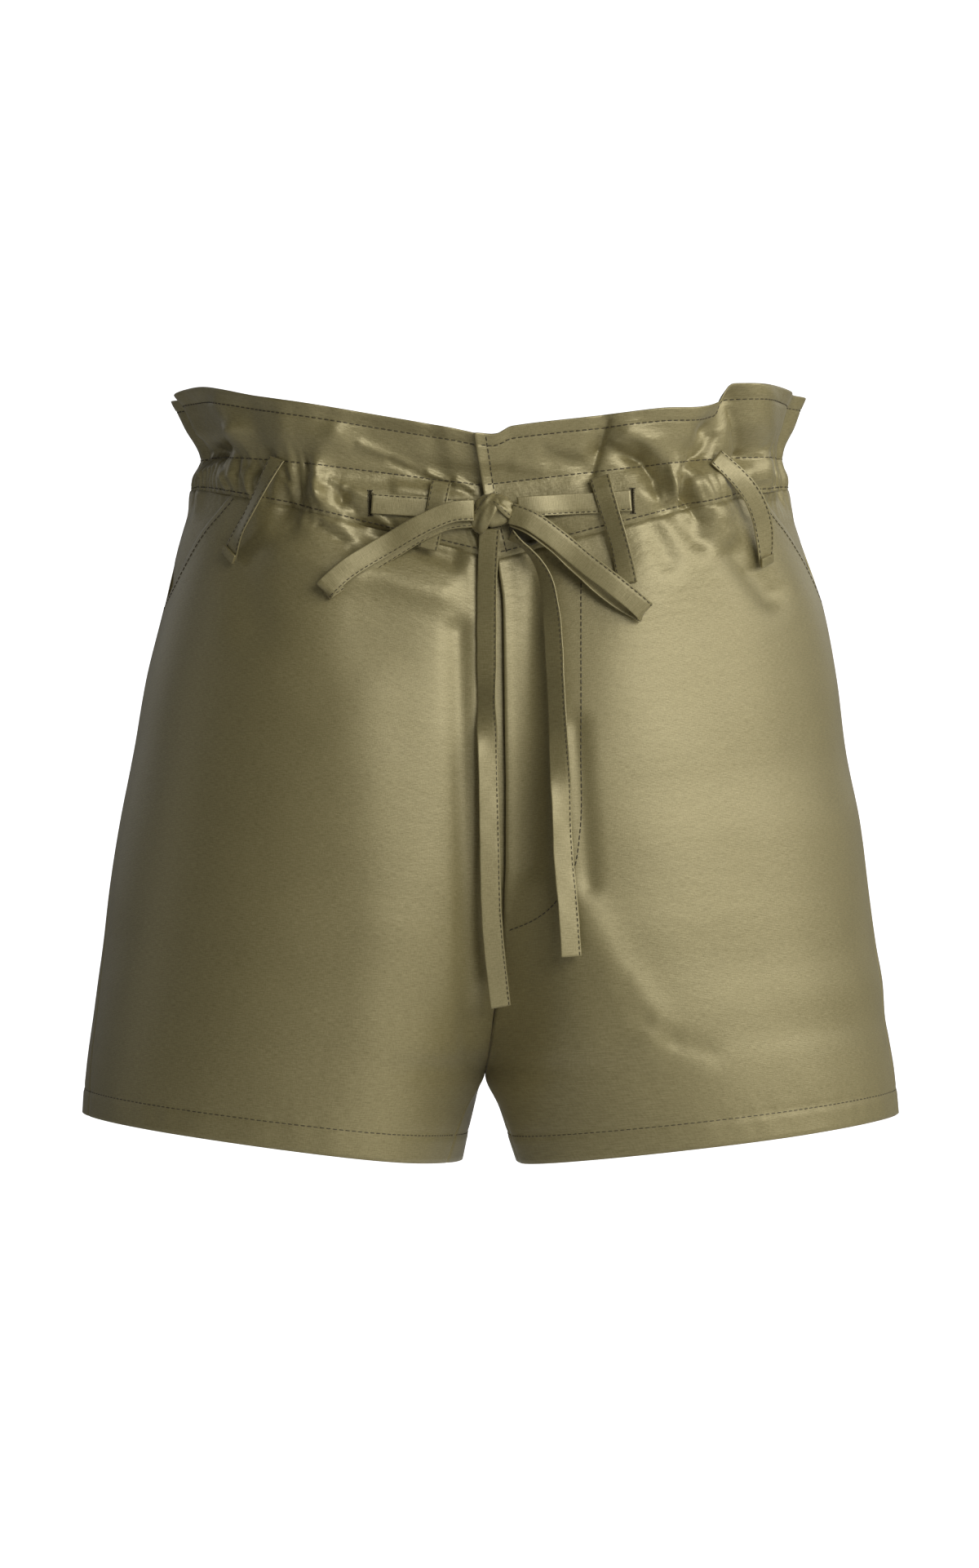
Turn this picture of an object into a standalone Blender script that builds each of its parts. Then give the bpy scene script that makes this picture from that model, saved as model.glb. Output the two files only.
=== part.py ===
"""Paper-bag shorts in satin taffeta, in worn form. Metres, +Z up, front to -Y, x towards the wearer's left.

The cloth is one wall, worked out from plan sections of each half (LEVELS), with folds and gathers added from short
tables, and each cut piece is a stretch of that wall between its seams. Lengths in the tables are mm. r is the
wearer's right half (x < 0), l the wearer's left half.
"""

import math

import bmesh
import bpy
import numpy as np


MM = 0.001
WALL = 1.6              # cloth wall
SEAM = 0.3              # gap between two pieces at a seam
SPAN = 445.0            # a half round, from centre front to centre back
TIE_WIDTH = 10.0
LOOP_WIDTH = 9.6
STRIP_THICK = 1.2       # folded tie or belt loop
KNOT = dict(x=0.9, z=-7.2, out=7.4, half_x=9.6, half_y=4.6, half_z=8.4, swell=2.6)
BUTTON = dict(x=17.1, z=-15.1, radius=8.7, thick=2.8, rim=2.2, dish=0.7, off=0.4)

# colour, roughness and metallic value of each material
FINISHES = {
    "taffeta": ((0.19, 0.165, 0.085, 1), 0.43, 0.2),
    "tie": ((0.19, 0.165, 0.085, 1), 0.43, 0.2),
    "button": ((0.06, 0.045, 0.025, 1), 0.35, 0.0),
}

# Sections of the garment, from the frill's top edge down to the hem, in mm. Each row is one level, named by its
# height at the side. front/back: heights at the centre seam or inseam. side_*: half widths. in_*: x of the front
# centre line or inseam. turn_*: how far the ring has turned from across (0) to front-to-back (90) at that line.
LEVEL_COLUMNS = (
    "side front back side_r side_l side_y in_r in_l in_y front_r front_l front_y turn_r turn_l "
    "end_r end_l end_y back_x back_y bturn_r bturn_l"
).split()
LEVELS = [
    # side front back  s_r   s_l  s_y   in_r  in_l in_y    fr  fl  fy    t_r t_l e_r e_l  e_y   bx   by  b_r  b_l
    (54, 29, 38, 152.5, 151.0, 6, -8, -8, -114, 74, 74, -113, 0, 0, 0, 0, 112, 76, 109, 0, 0),
    (38, 17, 25, 147.0, 146.0, 4, -6, -6, -111, 72, 72, -110, 0, 0, 0, 0, 108, 76, 105, 0, 0),
    (22, 5, 12, 139.5, 138.5, 2, -4, -4, -106, 70, 70, -105, 0, 0, 0, 0, 102, 75, 99, 0, 0),
    (14, -13, 1, 141.5, 140.5, 2, -1, -1, -106, 70, 70, -105.5, 0, 0, 0, 0, 103, 76, 100, 0, 0),
    (7, -30, -10, 144.5, 143.0, 2, 3, 3, -105, 70, 70, -105, 2, 2, 0, 0, 104, 77, 101, 0, 0),
    (-20, -53, -36, 153.2, 152.6, 2, 6, 6, -106, 69, 62, -109, 5, 6, 0, 0, 111, 80, 109, 0, 0),
    (-50, -80, -65, 160.5, 162.6, 2, 6.5, 6.5, -107, 68, 54, -112.5, 8, 10, 0, 0, 120, 82, 118, 0, 0),
    (-85, -111, -98, 169.3, 169.4, 3, 7, 7, -107, 67, 50, -115.5, 12, 14, 0, 0, 129, 84, 127, 0, 0),
    (-120, -142, -130, 175.2, 174.0, 4, 7.5, 7.5, -105, 67, 50, -117.5, 16, 18, 0, 0, 134, 86, 133, 0, 0),
    (-155, -173, -163, 181.8, 181.0, 4, 7.5, 7.5, -101, 68, 54, -118, 22, 24, 0, 0, 134, 88, 136, 4, 4),
    (-190, -204, -196, 187.3, 185.4, 4, 6, 6, -94, 70, 60, -118, 30, 32, 0, 0, 127, 91, 136, 14, 14),
    (-215, -229, -222, 190.3, 188.8, 4, 4, 4, -84, 72, 70, -117, 38, 40, -1, -1, 113, 93, 133, 30, 30),
    (-235, -249, -244, 193.2, 192.2, 4, 1, 1, -70, 74, 84, -116, 48, 52, -2, -2, 88, 95, 130, 52, 50),
    (-250, -265, -261, 195.3, 193.2, 4, -1, -1, -54, 76, 94, -114.5, 60, 64, -3, -3, 46, 97, 127, 76, 72),
    (-260, -277, -277, 196.8, 195.0, 4, -3, -3, -34, 78, 102, -113, 68, 78, -3, -3, -34, 98, 124, 87, 86),
    (-275, -294, -294, 198.7, 197.5, 4, -13, 5, -42, 80, 107, -110.5, 70, 84, -13, 5, -42, 98, 120, 103, 95),
    (-297, -319, -319, 200.4, 199.7, 4, -22, 14, -50, 82, 108, -106, 72, 88, -22, 14, -50, 97, 113, 108, 97),
]
ARC = 40        # points on each quarter of a ring
QUARTER = 0.5523    # handle of a Bezier quarter circle
HOLD_LEVEL = -150.0     # below it the crowns keep their places round the ring
CROTCH_LEVEL = -260     # below it front and back meet along the inseam
HELD = {}


def monotone(xs, ys, x):
    """Smooth curve through a table's points that never overshoots them. xs rise."""
    h = np.diff(xs)
    d = np.diff(ys) / h
    m = np.zeros(len(xs))
    m[0], m[-1] = d[0], d[-1]
    for i in range(1, len(xs) - 1):
        if d[i - 1] * d[i] > 0:
            a, b = 2 * h[i] + h[i - 1], h[i] + 2 * h[i - 1]
            m[i] = (a + b) / (a / d[i - 1] + b / d[i])
    x = np.clip(x, xs[0], xs[-1])
    i = np.clip(np.searchsorted(xs, x, side="right") - 1, 0, len(h) - 1)
    s = (x - xs[i]) / h[i]
    return (
        (1 + 2 * s) * (1 - s) ** 2 * ys[i]
        + s * (1 - s) ** 2 * h[i] * m[i]
        + s * s * (3 - 2 * s) * ys[i + 1]
        + s * s * (s - 1) * h[i] * m[i + 1]
    )


TABLE = np.array(LEVELS, float)[::-1]
RISING = TABLE[:, 0]


def section(level):
    """One row of the table at any level, as a dict."""
    out = {"side": level}
    for k, name in enumerate(LEVEL_COLUMNS[1:], 1):
        out[name] = float(monotone(RISING, TABLE[:, k], level))
    if level < CROTCH_LEVEL:
        out.update(end_r=out["in_r"], end_l=out["in_l"], end_y=out["in_y"], back=out["front"])
    # beyond the ends the rows run on straight, for normals
    for edge, other in ((0, 1), (-1, -2)):
        over = level - RISING[edge]
        if (edge == 0 and over < 0) or (edge == -1 and over > 0):
            slope = (TABLE[edge] - TABLE[other]) / (RISING[edge] - RISING[other])
            for k, name in enumerate(LEVEL_COLUMNS[1:], 1):
                out[name] = float(TABLE[edge, k] + slope[k] * over)
    return out


def bezier(p0, p1, p2, p3, n):
    s = np.linspace(0, 1, n + 1)[:, None]
    return (1 - s) ** 3 * p0 + 3 * s * (1 - s) ** 2 * p1 + 3 * s * s * (1 - s) * p2 + s**3 * p3


def ring(half, level):
    """Plan of one level on one half, from front centre round the side to back centre, x outward."""
    c = section(level)
    sign = -1 if half == "r" else 1
    k = QUARTER
    apart = 0.5 * SEAM if level > CROTCH_LEVEL - 2 else 0.0     # half a seam gap off the centre line
    start = np.array([sign * c["in_" + half] + apart, c["in_y"]])
    front = np.array([c["front_" + half], c["front_y"]])
    side = np.array([c["side_" + half], c["side_y"]])
    back = np.array([c["back_x"], c["back_y"]])
    end = np.array([sign * c["end_" + half] + apart, c["end_y"]])
    a = math.radians(c["turn_" + half])
    b = math.radians(c["bturn_" + half])
    out_a = np.array([math.cos(a), -math.sin(a)])
    in_b = np.array([-math.cos(b), -math.sin(b)])
    ha = k * abs((front[0] - start[0]) * math.cos(a)) + k * abs((front[1] - start[1]) * math.sin(a))
    hb = k * abs((back[0] - end[0]) * math.cos(b)) + k * abs((back[1] - end[1]) * math.sin(b))
    ex, ey = np.array([1.0, 0]), np.array([0, 1.0])
    arcs = [
        bezier(start, start + ha * out_a, front - k * (front - start) * ex, front, ARC),
        bezier(front, front + k * (side - front) * ex, side - k * (side - front) * ey, side, ARC),
        bezier(side, side + k * (back - side) * ey, back - k * (back - side) * ex, back, ARC),
        bezier(back, back - k * (back - end) * ex, end - hb * in_b, end, ARC),
    ]
    pts = np.concatenate([arcs[0]] + [arc[1:] for arc in arcs[1:]])
    step = np.linalg.norm(np.diff(pts, axis=0), axis=1)
    n = 2 * ARC
    run = np.concatenate([[0], np.cumsum(step)])
    u = np.where(
        np.arange(len(pts)) <= n,
        0.5 * run / run[n],
        0.5 + 0.5 * (run - run[n]) / (run[-1] - run[n]),
    )
    # below the hips the crowns of front and back keep their places, and only the inner parts stretch
    crowns = (u[ARC], u[3 * ARC])
    if level < HOLD_LEVEL:
        if half not in HELD:
            HELD[half] = ring(half, HOLD_LEVEL)[3]
        u = np.interp(u, [0, crowns[0], 0.5, crowns[1], 1], [0, HELD[half][0], 0.5, HELD[half][1], 1])
    return u, pts, c, crowns


RINGS = {}


def ring_at(half, level):
    """A level's ring, worked out once."""
    key = (half, float(level))
    if key not in RINGS:
        RINGS[key] = ring(half, float(level))
    return RINGS[key]


def base(half, u, level):
    """Points of the smooth form, for arrays u and level of one shape."""
    u, level = np.broadcast_arrays(np.asarray(u, float), np.asarray(level, float))
    out = np.zeros(u.shape + (3,))
    sign = -1 if half == "r" else 1
    for lv in np.unique(level):
        us, pts, c, _ = ring_at(half, lv)
        pick = level == lv
        uu = u[pick]
        x = np.interp(uu, us, pts[:, 0])
        y = np.interp(uu, us, pts[:, 1])
        # past the centre line the ring runs on straight
        for edge, nxt in ((0, 1), (-1, -2)):
            over = uu - us[edge]
            far = over < 0 if edge == 0 else over > 0
            d = (pts[edge] - pts[nxt]) / (us[edge] - us[nxt])
            x = np.where(far, pts[edge, 0] + d[0] * over, x)
            y = np.where(far, pts[edge, 1] + d[1] * over, y)
        side = c["side_" + half]
        f_in, b_in = sign * c["in_" + half], sign * c["end_" + half]
        # the underlap follows the other half's slope
        bent = np.where((uu < 0) & (x < f_in), 2 * f_in - x, x)
        zf = c["side"] + (c["front"] - c["side"]) * (side - bent) / (side - f_in)
        zb = c["side"] + (c["back"] - c["side"]) * (side - x) / (side - b_in)
        out[pick] = np.stack([sign * x, y, np.where(uu <= 0.5, zf, zb)], axis=-1)
    return out


# Folds of the front, as lines in the front plane, mm: half, x and z of both ends, width, and rise out of the cloth.
FOLD_COLUMNS = "half x0 z0 x1 z1 width rise".split()
FOLDS = [
    ("r", -130, 43, -122, 31, 5, 3),  # frill ridge
    ("r", -122, 31, -113, 15, 4.5, 3.5),
    ("r", -138, 39, -134, 29, 7, -3),  # hollow of the frill's corner
    ("r", -134, 24, -124, 25, 4.5, -4.5),  # hollow under the frill
    ("r", -124, 25, -124, 12, 4, 2.5),  # gathers
    ("r", -118, 21, -112, 14, 4, -2.5),
    ("r", -112, 14, -107, 19, 4, -2.5),
    ("r", -75, 28, -83, 12, 6.5, 3),  # ridge through the pinch
    ("r", -83, 12, -81, 2, 4.5, 4),
    ("r", -81, 2, -72, -8, 6, 3.5),
    ("r", -87, 10, -96, -5, 6, -4),  # shade beside it
    ("r", -78, 5, -71, -1, 4, -3.5),  # hooked fold
    ("r", -71, -1, -73, -8, 4, -3),
    ("r", -80, 10, -6, 3, 3.5, -1.2),  # channel top
    ("r", -57, 28, -22, 13, 11, -2.5),  # soft slope of the frill
    ("r", -82, -14, -67, -25, 3.5, -1.8),  # crease under the seam
    ("l", 53, 37, 49, 21, 4, -2),  # pleat
    ("l", 49, 21, 46, 8, 4, -1.5),
    ("l", 53, 24, 68, 19, 5, -3),  # shade from the pleat to the gathers
    ("l", 68, 19, 79, 11, 5, -4),
    ("l", 65, 29, 88, 15, 7, 3),
    ("l", 74, 10, 79, 4, 4, -3.5),  # gathers
    ("l", 79, 4, 82, -4, 4, -3.5),
    ("l", 84, 10, 86, 2, 4, 2.5),
    ("l", 92, 8, 93, 0, 4.5, -4.5),
    ("l", 93, 0, 99, -10, 4.5, -4),
    ("l", 98, 9, 108, -6, 7, 3.5),  # lobe of the channel
    ("l", 113, 45, 106, 34, 7, -6),  # valley of the frill
    ("l", 106, 34, 96, 17, 6, -5),
    ("l", 117, 42, 121, 20, 4.5, -5),
    ("l", 128, 45, 130, 23, 9, 5),  # outer lobe
    ("l", 118, 17, 126, 5, 4, -3),
    ("l", 128, 18, 134, 6, 4.5, 3),
    ("l", 20, -36, 18, -175, 7, -2.5),  # hollow beside the fly
    ("l", 62, -232, 72, -248, 5, -1.5),  # crease of the leg
    ("l", 72, -248, 85, -257, 5, -2),
    ("l", 85, -257, 105, -264, 5, -1.5),
]

# Gathers of the sides and back, each a ridge (or trough) that runs down from the frill: half, place round the half
# at the channel, lean towards the frill's edge, width mm, rise at the edge and at the channel, run below the seam.
GATHER_COLUMNS = "half at lean width edge channel below".split()
GATHERS = [
    ("r", 0.415, 0.010, 7, 3.0, 2.5, 16),
    ("r", 0.455, 0.004, 6, -3.5, -3.0, 22),
    ("r", 0.492, -0.006, 8, 4.5, 2.5, 14),
    ("r", 0.545, 0.008, 7, -3.5, -2.5, 26),
    ("r", 0.590, 0.012, 9, 5.0, 3.0, 18),
    ("r", 0.648, -0.010, 8, -4.0, -2.5, 30),
    ("r", 0.700, 0.006, 9, 4.5, 2.5, 20),
    ("r", 0.762, 0.010, 8, -3.5, -2.5, 24),
    ("r", 0.812, -0.008, 10, 4.0, 2.5, 34),
    ("r", 0.880, 0.004, 9, -4.0, -2.5, 22),
    ("r", 0.940, -0.006, 9, 4.0, 2.0, 28),
    ("l", 0.425, 0.008, 6, -3.0, -2.5, 14),
    ("l", 0.462, -0.004, 7, 3.5, 2.5, 20),
    ("l", 0.515, 0.010, 7, -4.0, -2.5, 24),
    ("l", 0.560, -0.008, 8, 4.0, 2.5, 16),
    ("l", 0.622, 0.006, 9, -3.5, -3.0, 32),
    ("l", 0.675, 0.012, 8, 4.5, 2.5, 22),
    ("l", 0.735, -0.006, 9, -4.5, -2.5, 18),
    ("l", 0.790, 0.008, 9, 4.0, 3.0, 28),
    ("l", 0.852, -0.010, 8, -3.5, -2.0, 24),
    ("l", 0.915, 0.004, 10, 4.0, 2.5, 30),
    ("l", 0.975, 0.006, 8, -3.0, -2.0, 20),
]

# Height of the frill's edge above its section, in the front: x and dz, mm.
EDGE = [(-152, -3), (-146, 1), (-135, 2.5), (-110, 0.5), (-60, 0.5), (-20, 0.5), (-8, 0), (2, -2), (10, 0.5),
        (50, -1), (80, -2), (100, -4), (111, -3), (117, 5), (124, 4.5), (136, 2.5), (145, 0), (152, -3)]

# Level, and place round the half.
SIDE_SEAM = [(54, 0.495), (-60, 0.492), (-150, 0.475), (-230, 0.457), (-297, 0.440)]
POCKET = {      # the slanted edge
    "r": [(7, 0.326), (-2, 0.349), (-12, 0.375), (-32, 0.416), (-43, 0.443), (-54, 0.492)],
    "l": [(7, 0.345), (-5, 0.376), (-13, 0.400), (-28, 0.440), (-42, 0.468), (-54, 0.492)],
}
FLY_END = -196      # level where the fly's overlap ends
UNDERLAP = 0.024    # how far the right half runs under the left one, as a share of a half round
OVERLAP_DROP = WALL + 0.5
CHANNEL_PUFF = 1.6  # the drawstring channel's roundness


def soft(x):
    x = np.clip(x, 0, 1)
    return x * x * (3 - 2 * x)


def curve(rows, x):
    """Smooth value of a two-column table at x, whichever way its first column runs."""
    rows = np.array(sorted(rows), float)
    return monotone(rows[:, 0], rows[:, 1], np.asarray(x, float))


def segment(px, pz, x0, z0, x1, z1):
    """Distance of points from a line's nearest part."""
    dx, dz = x1 - x0, z1 - z0
    s = np.clip(((px - x0) * dx + (pz - z0) * dz) / (dx * dx + dz * dz), 0, 1)
    return np.hypot(px - x0 - s * dx, pz - z0 - s * dz)


def rise(half, u, level, p):
    """How far folds and gathers lift the cloth out of its smooth form, mm."""
    out = np.zeros(u.shape)
    front = 1 - soft((u - 0.44) / 0.07)
    for row in FOLDS:
        f = dict(zip(FOLD_COLUMNS, row))
        if f["half"] == half:
            d = segment(p[..., 0], p[..., 2], f["x0"], f["z0"], f["x1"], f["z1"])
            out += front * f["rise"] * np.exp(-((d / f["width"]) ** 2))
    for row in GATHERS:
        g = dict(zip(GATHER_COLUMNS, row))
        if g["half"] != half:
            continue
        up = soft((level - 12) / 42)
        down = 1 - soft((7 - level) / g["below"])
        d = (u - g["at"] - g["lean"] * up) * SPAN / (g["width"] * (1 + 0.5 * up))
        out += np.exp(-d * d) * (g["channel"] + (g["edge"] - g["channel"]) * up) * down
    # the drawstring channel puffs between its two rows of stitching, less so near the fly
    round_ = 1 - soft((0.10 - u) / 0.06) * 0.7
    out += round_ * CHANNEL_PUFF * np.exp(-(((level - 13.5) / 4.5) ** 2))
    # the fly: the right half drops behind the left
    if half == "r":
        lap = soft((level - FLY_END + 22) / 22)
        out -= OVERLAP_DROP * lap * (1 - soft((u - 0.006) / 0.030))
    return out


def skin(half, u, level, lift=0.0):
    """Points of the cloth's outer face."""
    u, level = np.broadcast_arrays(np.asarray(u, float), np.asarray(level, float))
    p = base(half, u, level)
    a = base(half, u + 0.004, level) - base(half, u - 0.004, level)
    sign = -1 if half == "r" else 1
    n = np.stack([-a[..., 1], a[..., 0], 0 * a[..., 0]], -1) * -sign
    n /= np.linalg.norm(n, axis=-1, keepdims=True)
    q = p + n * (rise(half, u, level, p) + lift)[..., None]
    lift_edge = soft((level - 24) / 30) * (1 - soft((u - 0.5) / 0.05))
    q[..., 2] += lift_edge * curve(EDGE, p[..., 0])
    return q


def normals(half, u, level, lift=0.0):
    """Outward normals of the cloth by differences."""
    sign = -1 if half == "r" else 1
    a = skin(half, u + 0.004, level, lift) - skin(half, u - 0.004, level, lift)
    b = skin(half, u, level + 1.2, lift) - skin(half, u, level - 1.2, lift)
    n = np.cross(a, b) * sign
    return n / np.linalg.norm(n, axis=-1, keepdims=True)


COLLECTION = bpy.data.collections.new("taffeta_shorts")
MATERIALS = {}


def material(slot):
    """A slot's Principled BSDF material, made once."""
    if slot not in MATERIALS:
        colour, roughness, metallic = FINISHES[slot]
        made = bpy.data.materials.new(slot)
        made.use_nodes = True
        shader = made.node_tree.nodes["Principled BSDF"]
        shader.inputs["Base Color"].default_value = colour
        shader.inputs["Roughness"].default_value = roughness
        shader.inputs["Metallic"].default_value = metallic
        MATERIALS[slot] = made
    return MATERIALS[slot]


def add(name, mesh, slot):
    """One object of the part's collection, smooth but for its sharp rims."""
    mesh.materials.append(material(slot))
    mesh.shade_smooth()
    mesh.set_sharp_from_angle(angle=math.radians(50))
    obj = bpy.data.objects.new(name, mesh)
    COLLECTION.objects.link(obj)
    return obj


def solid(name, verts, faces, slot):
    """One closed solid from points in mm."""
    mesh = bpy.data.meshes.new(name)
    mesh.from_pydata((np.asarray(verts) * MM).tolist(), [], faces)
    mesh.validate()
    return add(name, mesh, slot)


def seam_height(half, level, x, front):
    """Height of a seam that runs round at one level: straight from side to centre, so that both pieces meet it."""
    c = section(level)
    sign = -1 if half == "r" else 1
    side = c["side_" + half]
    inner = sign * c["in_" + half] if front else sign * c["end_" + half]
    centre = c["front"] if front else c["back"]
    outward = np.where(sign * x < inner, 2 * inner - sign * x, sign * x)
    return c["side"] + (centre - c["side"]) * (side - outward) / (side - inner)


def grid_faces(rows, cols, at, flip):
    """Triangles of a grid of points whose first is number at."""
    out = []
    for i in range(rows - 1):
        for j in range(cols - 1):
            a = at + i * cols + j
            b, c, d = a + 1, a + cols + 1, a + cols
            out += [(a, b, c), (a, c, d)] if flip else [(a, c, b), (a, d, c)]
    return out


def wall(name, outer, n, seam):
    """A cloth wall: a grid of outer points, its inner face along the normals, and a rim round all four edges.

    seam is (row, level, front) for a row on a seam that runs round, whose heights are set exactly.
    """
    rows, cols = outer.shape[:2]
    outer, n = outer.copy(), n.copy()
    row, level, front = seam
    n[row, :, 2] = 0
    n[row] /= np.linalg.norm(n[row], axis=-1, keepdims=True)
    inner = outer - n * WALL
    for side in (outer, inner):
        x = side[row, :, 0]
        on_right = np.full(len(x), name.endswith("right"))
        if name.endswith("back"):       # one piece from side to side
            on_right = x < 0
        heights = seam_height("r", level, x, front), seam_height("l", level, x, front)
        side[row, :, 2] = np.where(on_right, *heights)
    verts = np.concatenate([outer.reshape(-1, 3), inner.reshape(-1, 3)])
    a = outer[0, 1] - outer[0, 0]
    b = outer[1, 0] - outer[0, 0]
    flip = np.dot(np.cross(a, b), n[0, 0]) > 0
    faces = grid_faces(rows, cols, 0, flip) + grid_faces(rows, cols, rows * cols, not flip)
    border = [(0, j) for j in range(cols)] + [(i, cols - 1) for i in range(1, rows)]
    border += [(rows - 1, j) for j in range(cols - 2, -1, -1)] + [(i, 0) for i in range(rows - 2, 0, -1)]
    ids = [i * cols + j for i, j in border]
    off = rows * cols
    for a, b in zip(ids, ids[1:] + ids[:1]):
        faces += [(b, a, a + off), (b, a + off, b + off)] if flip else [(a, b, b + off), (a, b + off, a + off)]
    return solid(name, verts, faces, "taffeta")


def share(values, n):
    """n + 1 places between the first and last of a list of (place, weight) spans: more where the weight is more."""
    edges = [edge for edge, _ in values]
    weights = [weight for _, weight in values[:-1]]
    counts = [weight * (b - a) for a, b, weight in zip(edges, edges[1:], weights)]
    total = np.concatenate([[0], np.cumsum(counts)])
    return np.interp(np.linspace(0, total[-1], n + 1), total, edges)


def seam_at(level):
    return curve(SIDE_SEAM, level)


GAP = 0.5 * SEAM / SPAN     # half a seam gap, as a share of a half round
SPLIT = 0.5 * SEAM          # half a seam gap in level
SEAM_LEVEL = 7              # where the panels meet the casing
POCKET_FOOT = -54           # where the slanted pocket meets the side seam
PANEL_LEVELS = np.array([-4, -9, -16, -25, -34, -42, -48, POCKET_FOOT, -66, -82, -100, -118, -136, -154, -172, -190,
                         -205, -218, -229, -239, -247, -254, -260, -268, -277, -287, -297], float)


def mitre(n, half, levels, col):
    """Below the crotch the front's and back's walls share one normal along the inseam."""
    for i, level in enumerate(levels):
        if level < CROTCH_LEVEL + 2:
            ends = normals(half, np.array([GAP, 1 - GAP]), np.array([level, level]))
            m = ends[0] + ends[1]
            n[i, col] = m / np.linalg.norm(m)
    return n


def front_panel(name, half):
    """One front, cut away at the slanted pocket. The wearer's right one runs under the left one at the fly."""
    levels = np.concatenate([[SEAM_LEVEL - SPLIT, 2], PANEL_LEVELS])
    left = np.full(len(levels), GAP)
    side = seam_at(levels) - GAP
    pocket = curve(POCKET[half], np.maximum(levels, POCKET_FOOT)) - 0.001
    right = np.where(levels > POCKET_FOOT - 1, np.minimum(pocket, side), side)
    s = share([(0, 1.5), (0.14, 1.0), (1, 1)], 12)
    if half == "r":     # two columns before the centre line: the underlap, and a little of the panel below it
        lap = soft((levels - FLY_END + 12) / 12)
        first = GAP - UNDERLAP * lap
        second = GAP - 0.5 * UNDERLAP * lap + 0.006 * (1 - lap)
        left = GAP + 0.012 * (1 - lap)
        u = np.concatenate([first[:, None], second[:, None], left[:, None] + (right - left)[:, None] * s], 1)
    else:
        u = left[:, None] + (right - left)[:, None] * s
    lv = np.broadcast_to(levels[:, None], u.shape)
    n = mitre(normals(half, u, lv), half, levels, 0)
    return wall(name, skin(half, u, lv), n, seam=(0, levels[0], True))


def back_panel(name, half):
    """One back, from the side seam to the centre back and the inseam."""
    levels = np.unique(np.concatenate([[SEAM_LEVEL - SPLIT, 0], PANEL_LEVELS[1::2], PANEL_LEVELS[-12:]]))[::-1]
    left = seam_at(levels) + GAP
    right = np.full(len(levels), 1 - GAP)
    s = np.linspace(0, 1, 18)
    u = left[:, None] + (right - left)[:, None] * s
    lv = np.broadcast_to(levels[:, None], u.shape)
    n = mitre(normals(half, u, lv), half, levels, -1)
    return wall(name, skin(half, u, lv), n, seam=(0, levels[0], False))


def hip_piece(name, half):
    """What shows outside the slanted pocket edge. It runs under the front panel and joins the back at the side."""
    levels = np.array([SEAM_LEVEL - SPLIT, 0, -8, -16, -24, -32, -40, -48, -56, -64], float)
    edge = curve(POCKET[half], np.maximum(levels, POCKET_FOOT))
    left = edge - 0.030
    right = seam_at(levels) - GAP
    u = left[:, None] + (right - left)[:, None] * np.linspace(0, 1, 7)
    lv = np.broadcast_to(levels[:, None], u.shape)
    across = 1 - soft((u - edge[:, None]) / 0.09)
    down = soft((-26 - lv) / 20)
    lift = -(WALL + 1.2) * np.maximum(across, down)
    return wall(name, skin(half, u, lv, lift), normals(half, u, lv, lift), seam=(0, levels[0], True))


WAIST_LEVELS = np.array([54, 50, 44, 38, 32, 27, 23.5, 21, 18, 15.5, 13, 11, 9, SEAM_LEVEL + SPLIT], float)


def waist_front(name, half):
    """Casing and frill of one front. The wearer's right one runs on under the left one."""
    us = share([(GAP, 0.8), (0.09, 1.0), (0.15, 2.2), (0.33, 1.6), (seam_at(30) - GAP, 1)], 38)
    if half == "r":
        us = np.concatenate([[-UNDERLAP, -0.5 * UNDERLAP], us])
    u, lv = np.meshgrid(us, WAIST_LEVELS)
    return wall(name, skin(half, u, lv), normals(half, u, lv), seam=(-1, WAIST_LEVELS[-1], True))


def waist_back(name):
    """Casing and frill of the back, one piece from side to side."""
    levels = WAIST_LEVELS[[0, 2, 3, 4, 5, 6, 8, 9, 10, 12, 13]]
    us = np.linspace(seam_at(30) + GAP, 1, 26)
    pts, nrm = [], []
    for half in "rl":
        u, lv = np.meshgrid(us, levels)
        pts.append(skin(half, u, lv))
        nrm.append(normals(half, u, lv))
    # the two halves share the centre back line
    mid = 0.5 * (pts[0][:, -1:] + pts[1][:, -1:])
    mid_n = nrm[0][:, -1:] + nrm[1][:, -1:]
    mid_n /= np.linalg.norm(mid_n, axis=-1, keepdims=True)
    outer = np.concatenate([pts[0][:, :-1], mid, pts[1][:, -2::-1]], 1)
    n = np.concatenate([nrm[0][:, :-1], mid_n, nrm[1][:, -2::-1]], 1)
    return wall(name, outer, n, seam=(-1, levels[-1], False))


# The front seen square on: place and form of the cloth under a point of the front plane.
PLACE_LEVELS = np.arange(54, -298, -6.0)


def place(x, z):
    """Half, place round it and level of the smooth form's front at x, z."""
    half = "l" if x > 4 else "r"
    sign = -1 if half == "r" else 1
    zs, us = [], []
    for lv in PLACE_LEVELS:
        u, pts, c, _ = ring_at(half, lv)
        front = slice(0, 2 * ARC + 1)
        f_in = sign * c["in_" + half]
        side = c["side_" + half]
        us.append(np.interp(sign * x, pts[front, 0], u[front]))
        zs.append(c["side"] + (c["front"] - c["side"]) * (side - sign * x) / (side - f_in))
    zs, us = np.array(zs)[::-1], np.array(us)[::-1]
    return half, float(np.interp(z, zs, us)), float(np.interp(z, zs, PLACE_LEVELS[::-1]))


# Steps to the places round a point where the cloth's height is looked up, as shares of the reach.
AROUND = np.array([(0, 0), (1, 0), (-1, 0), (0, 1), (0, -1), (0.7, 0.7), (-0.7, 0.7), (0.7, -0.7), (-0.7, -0.7)])


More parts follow.
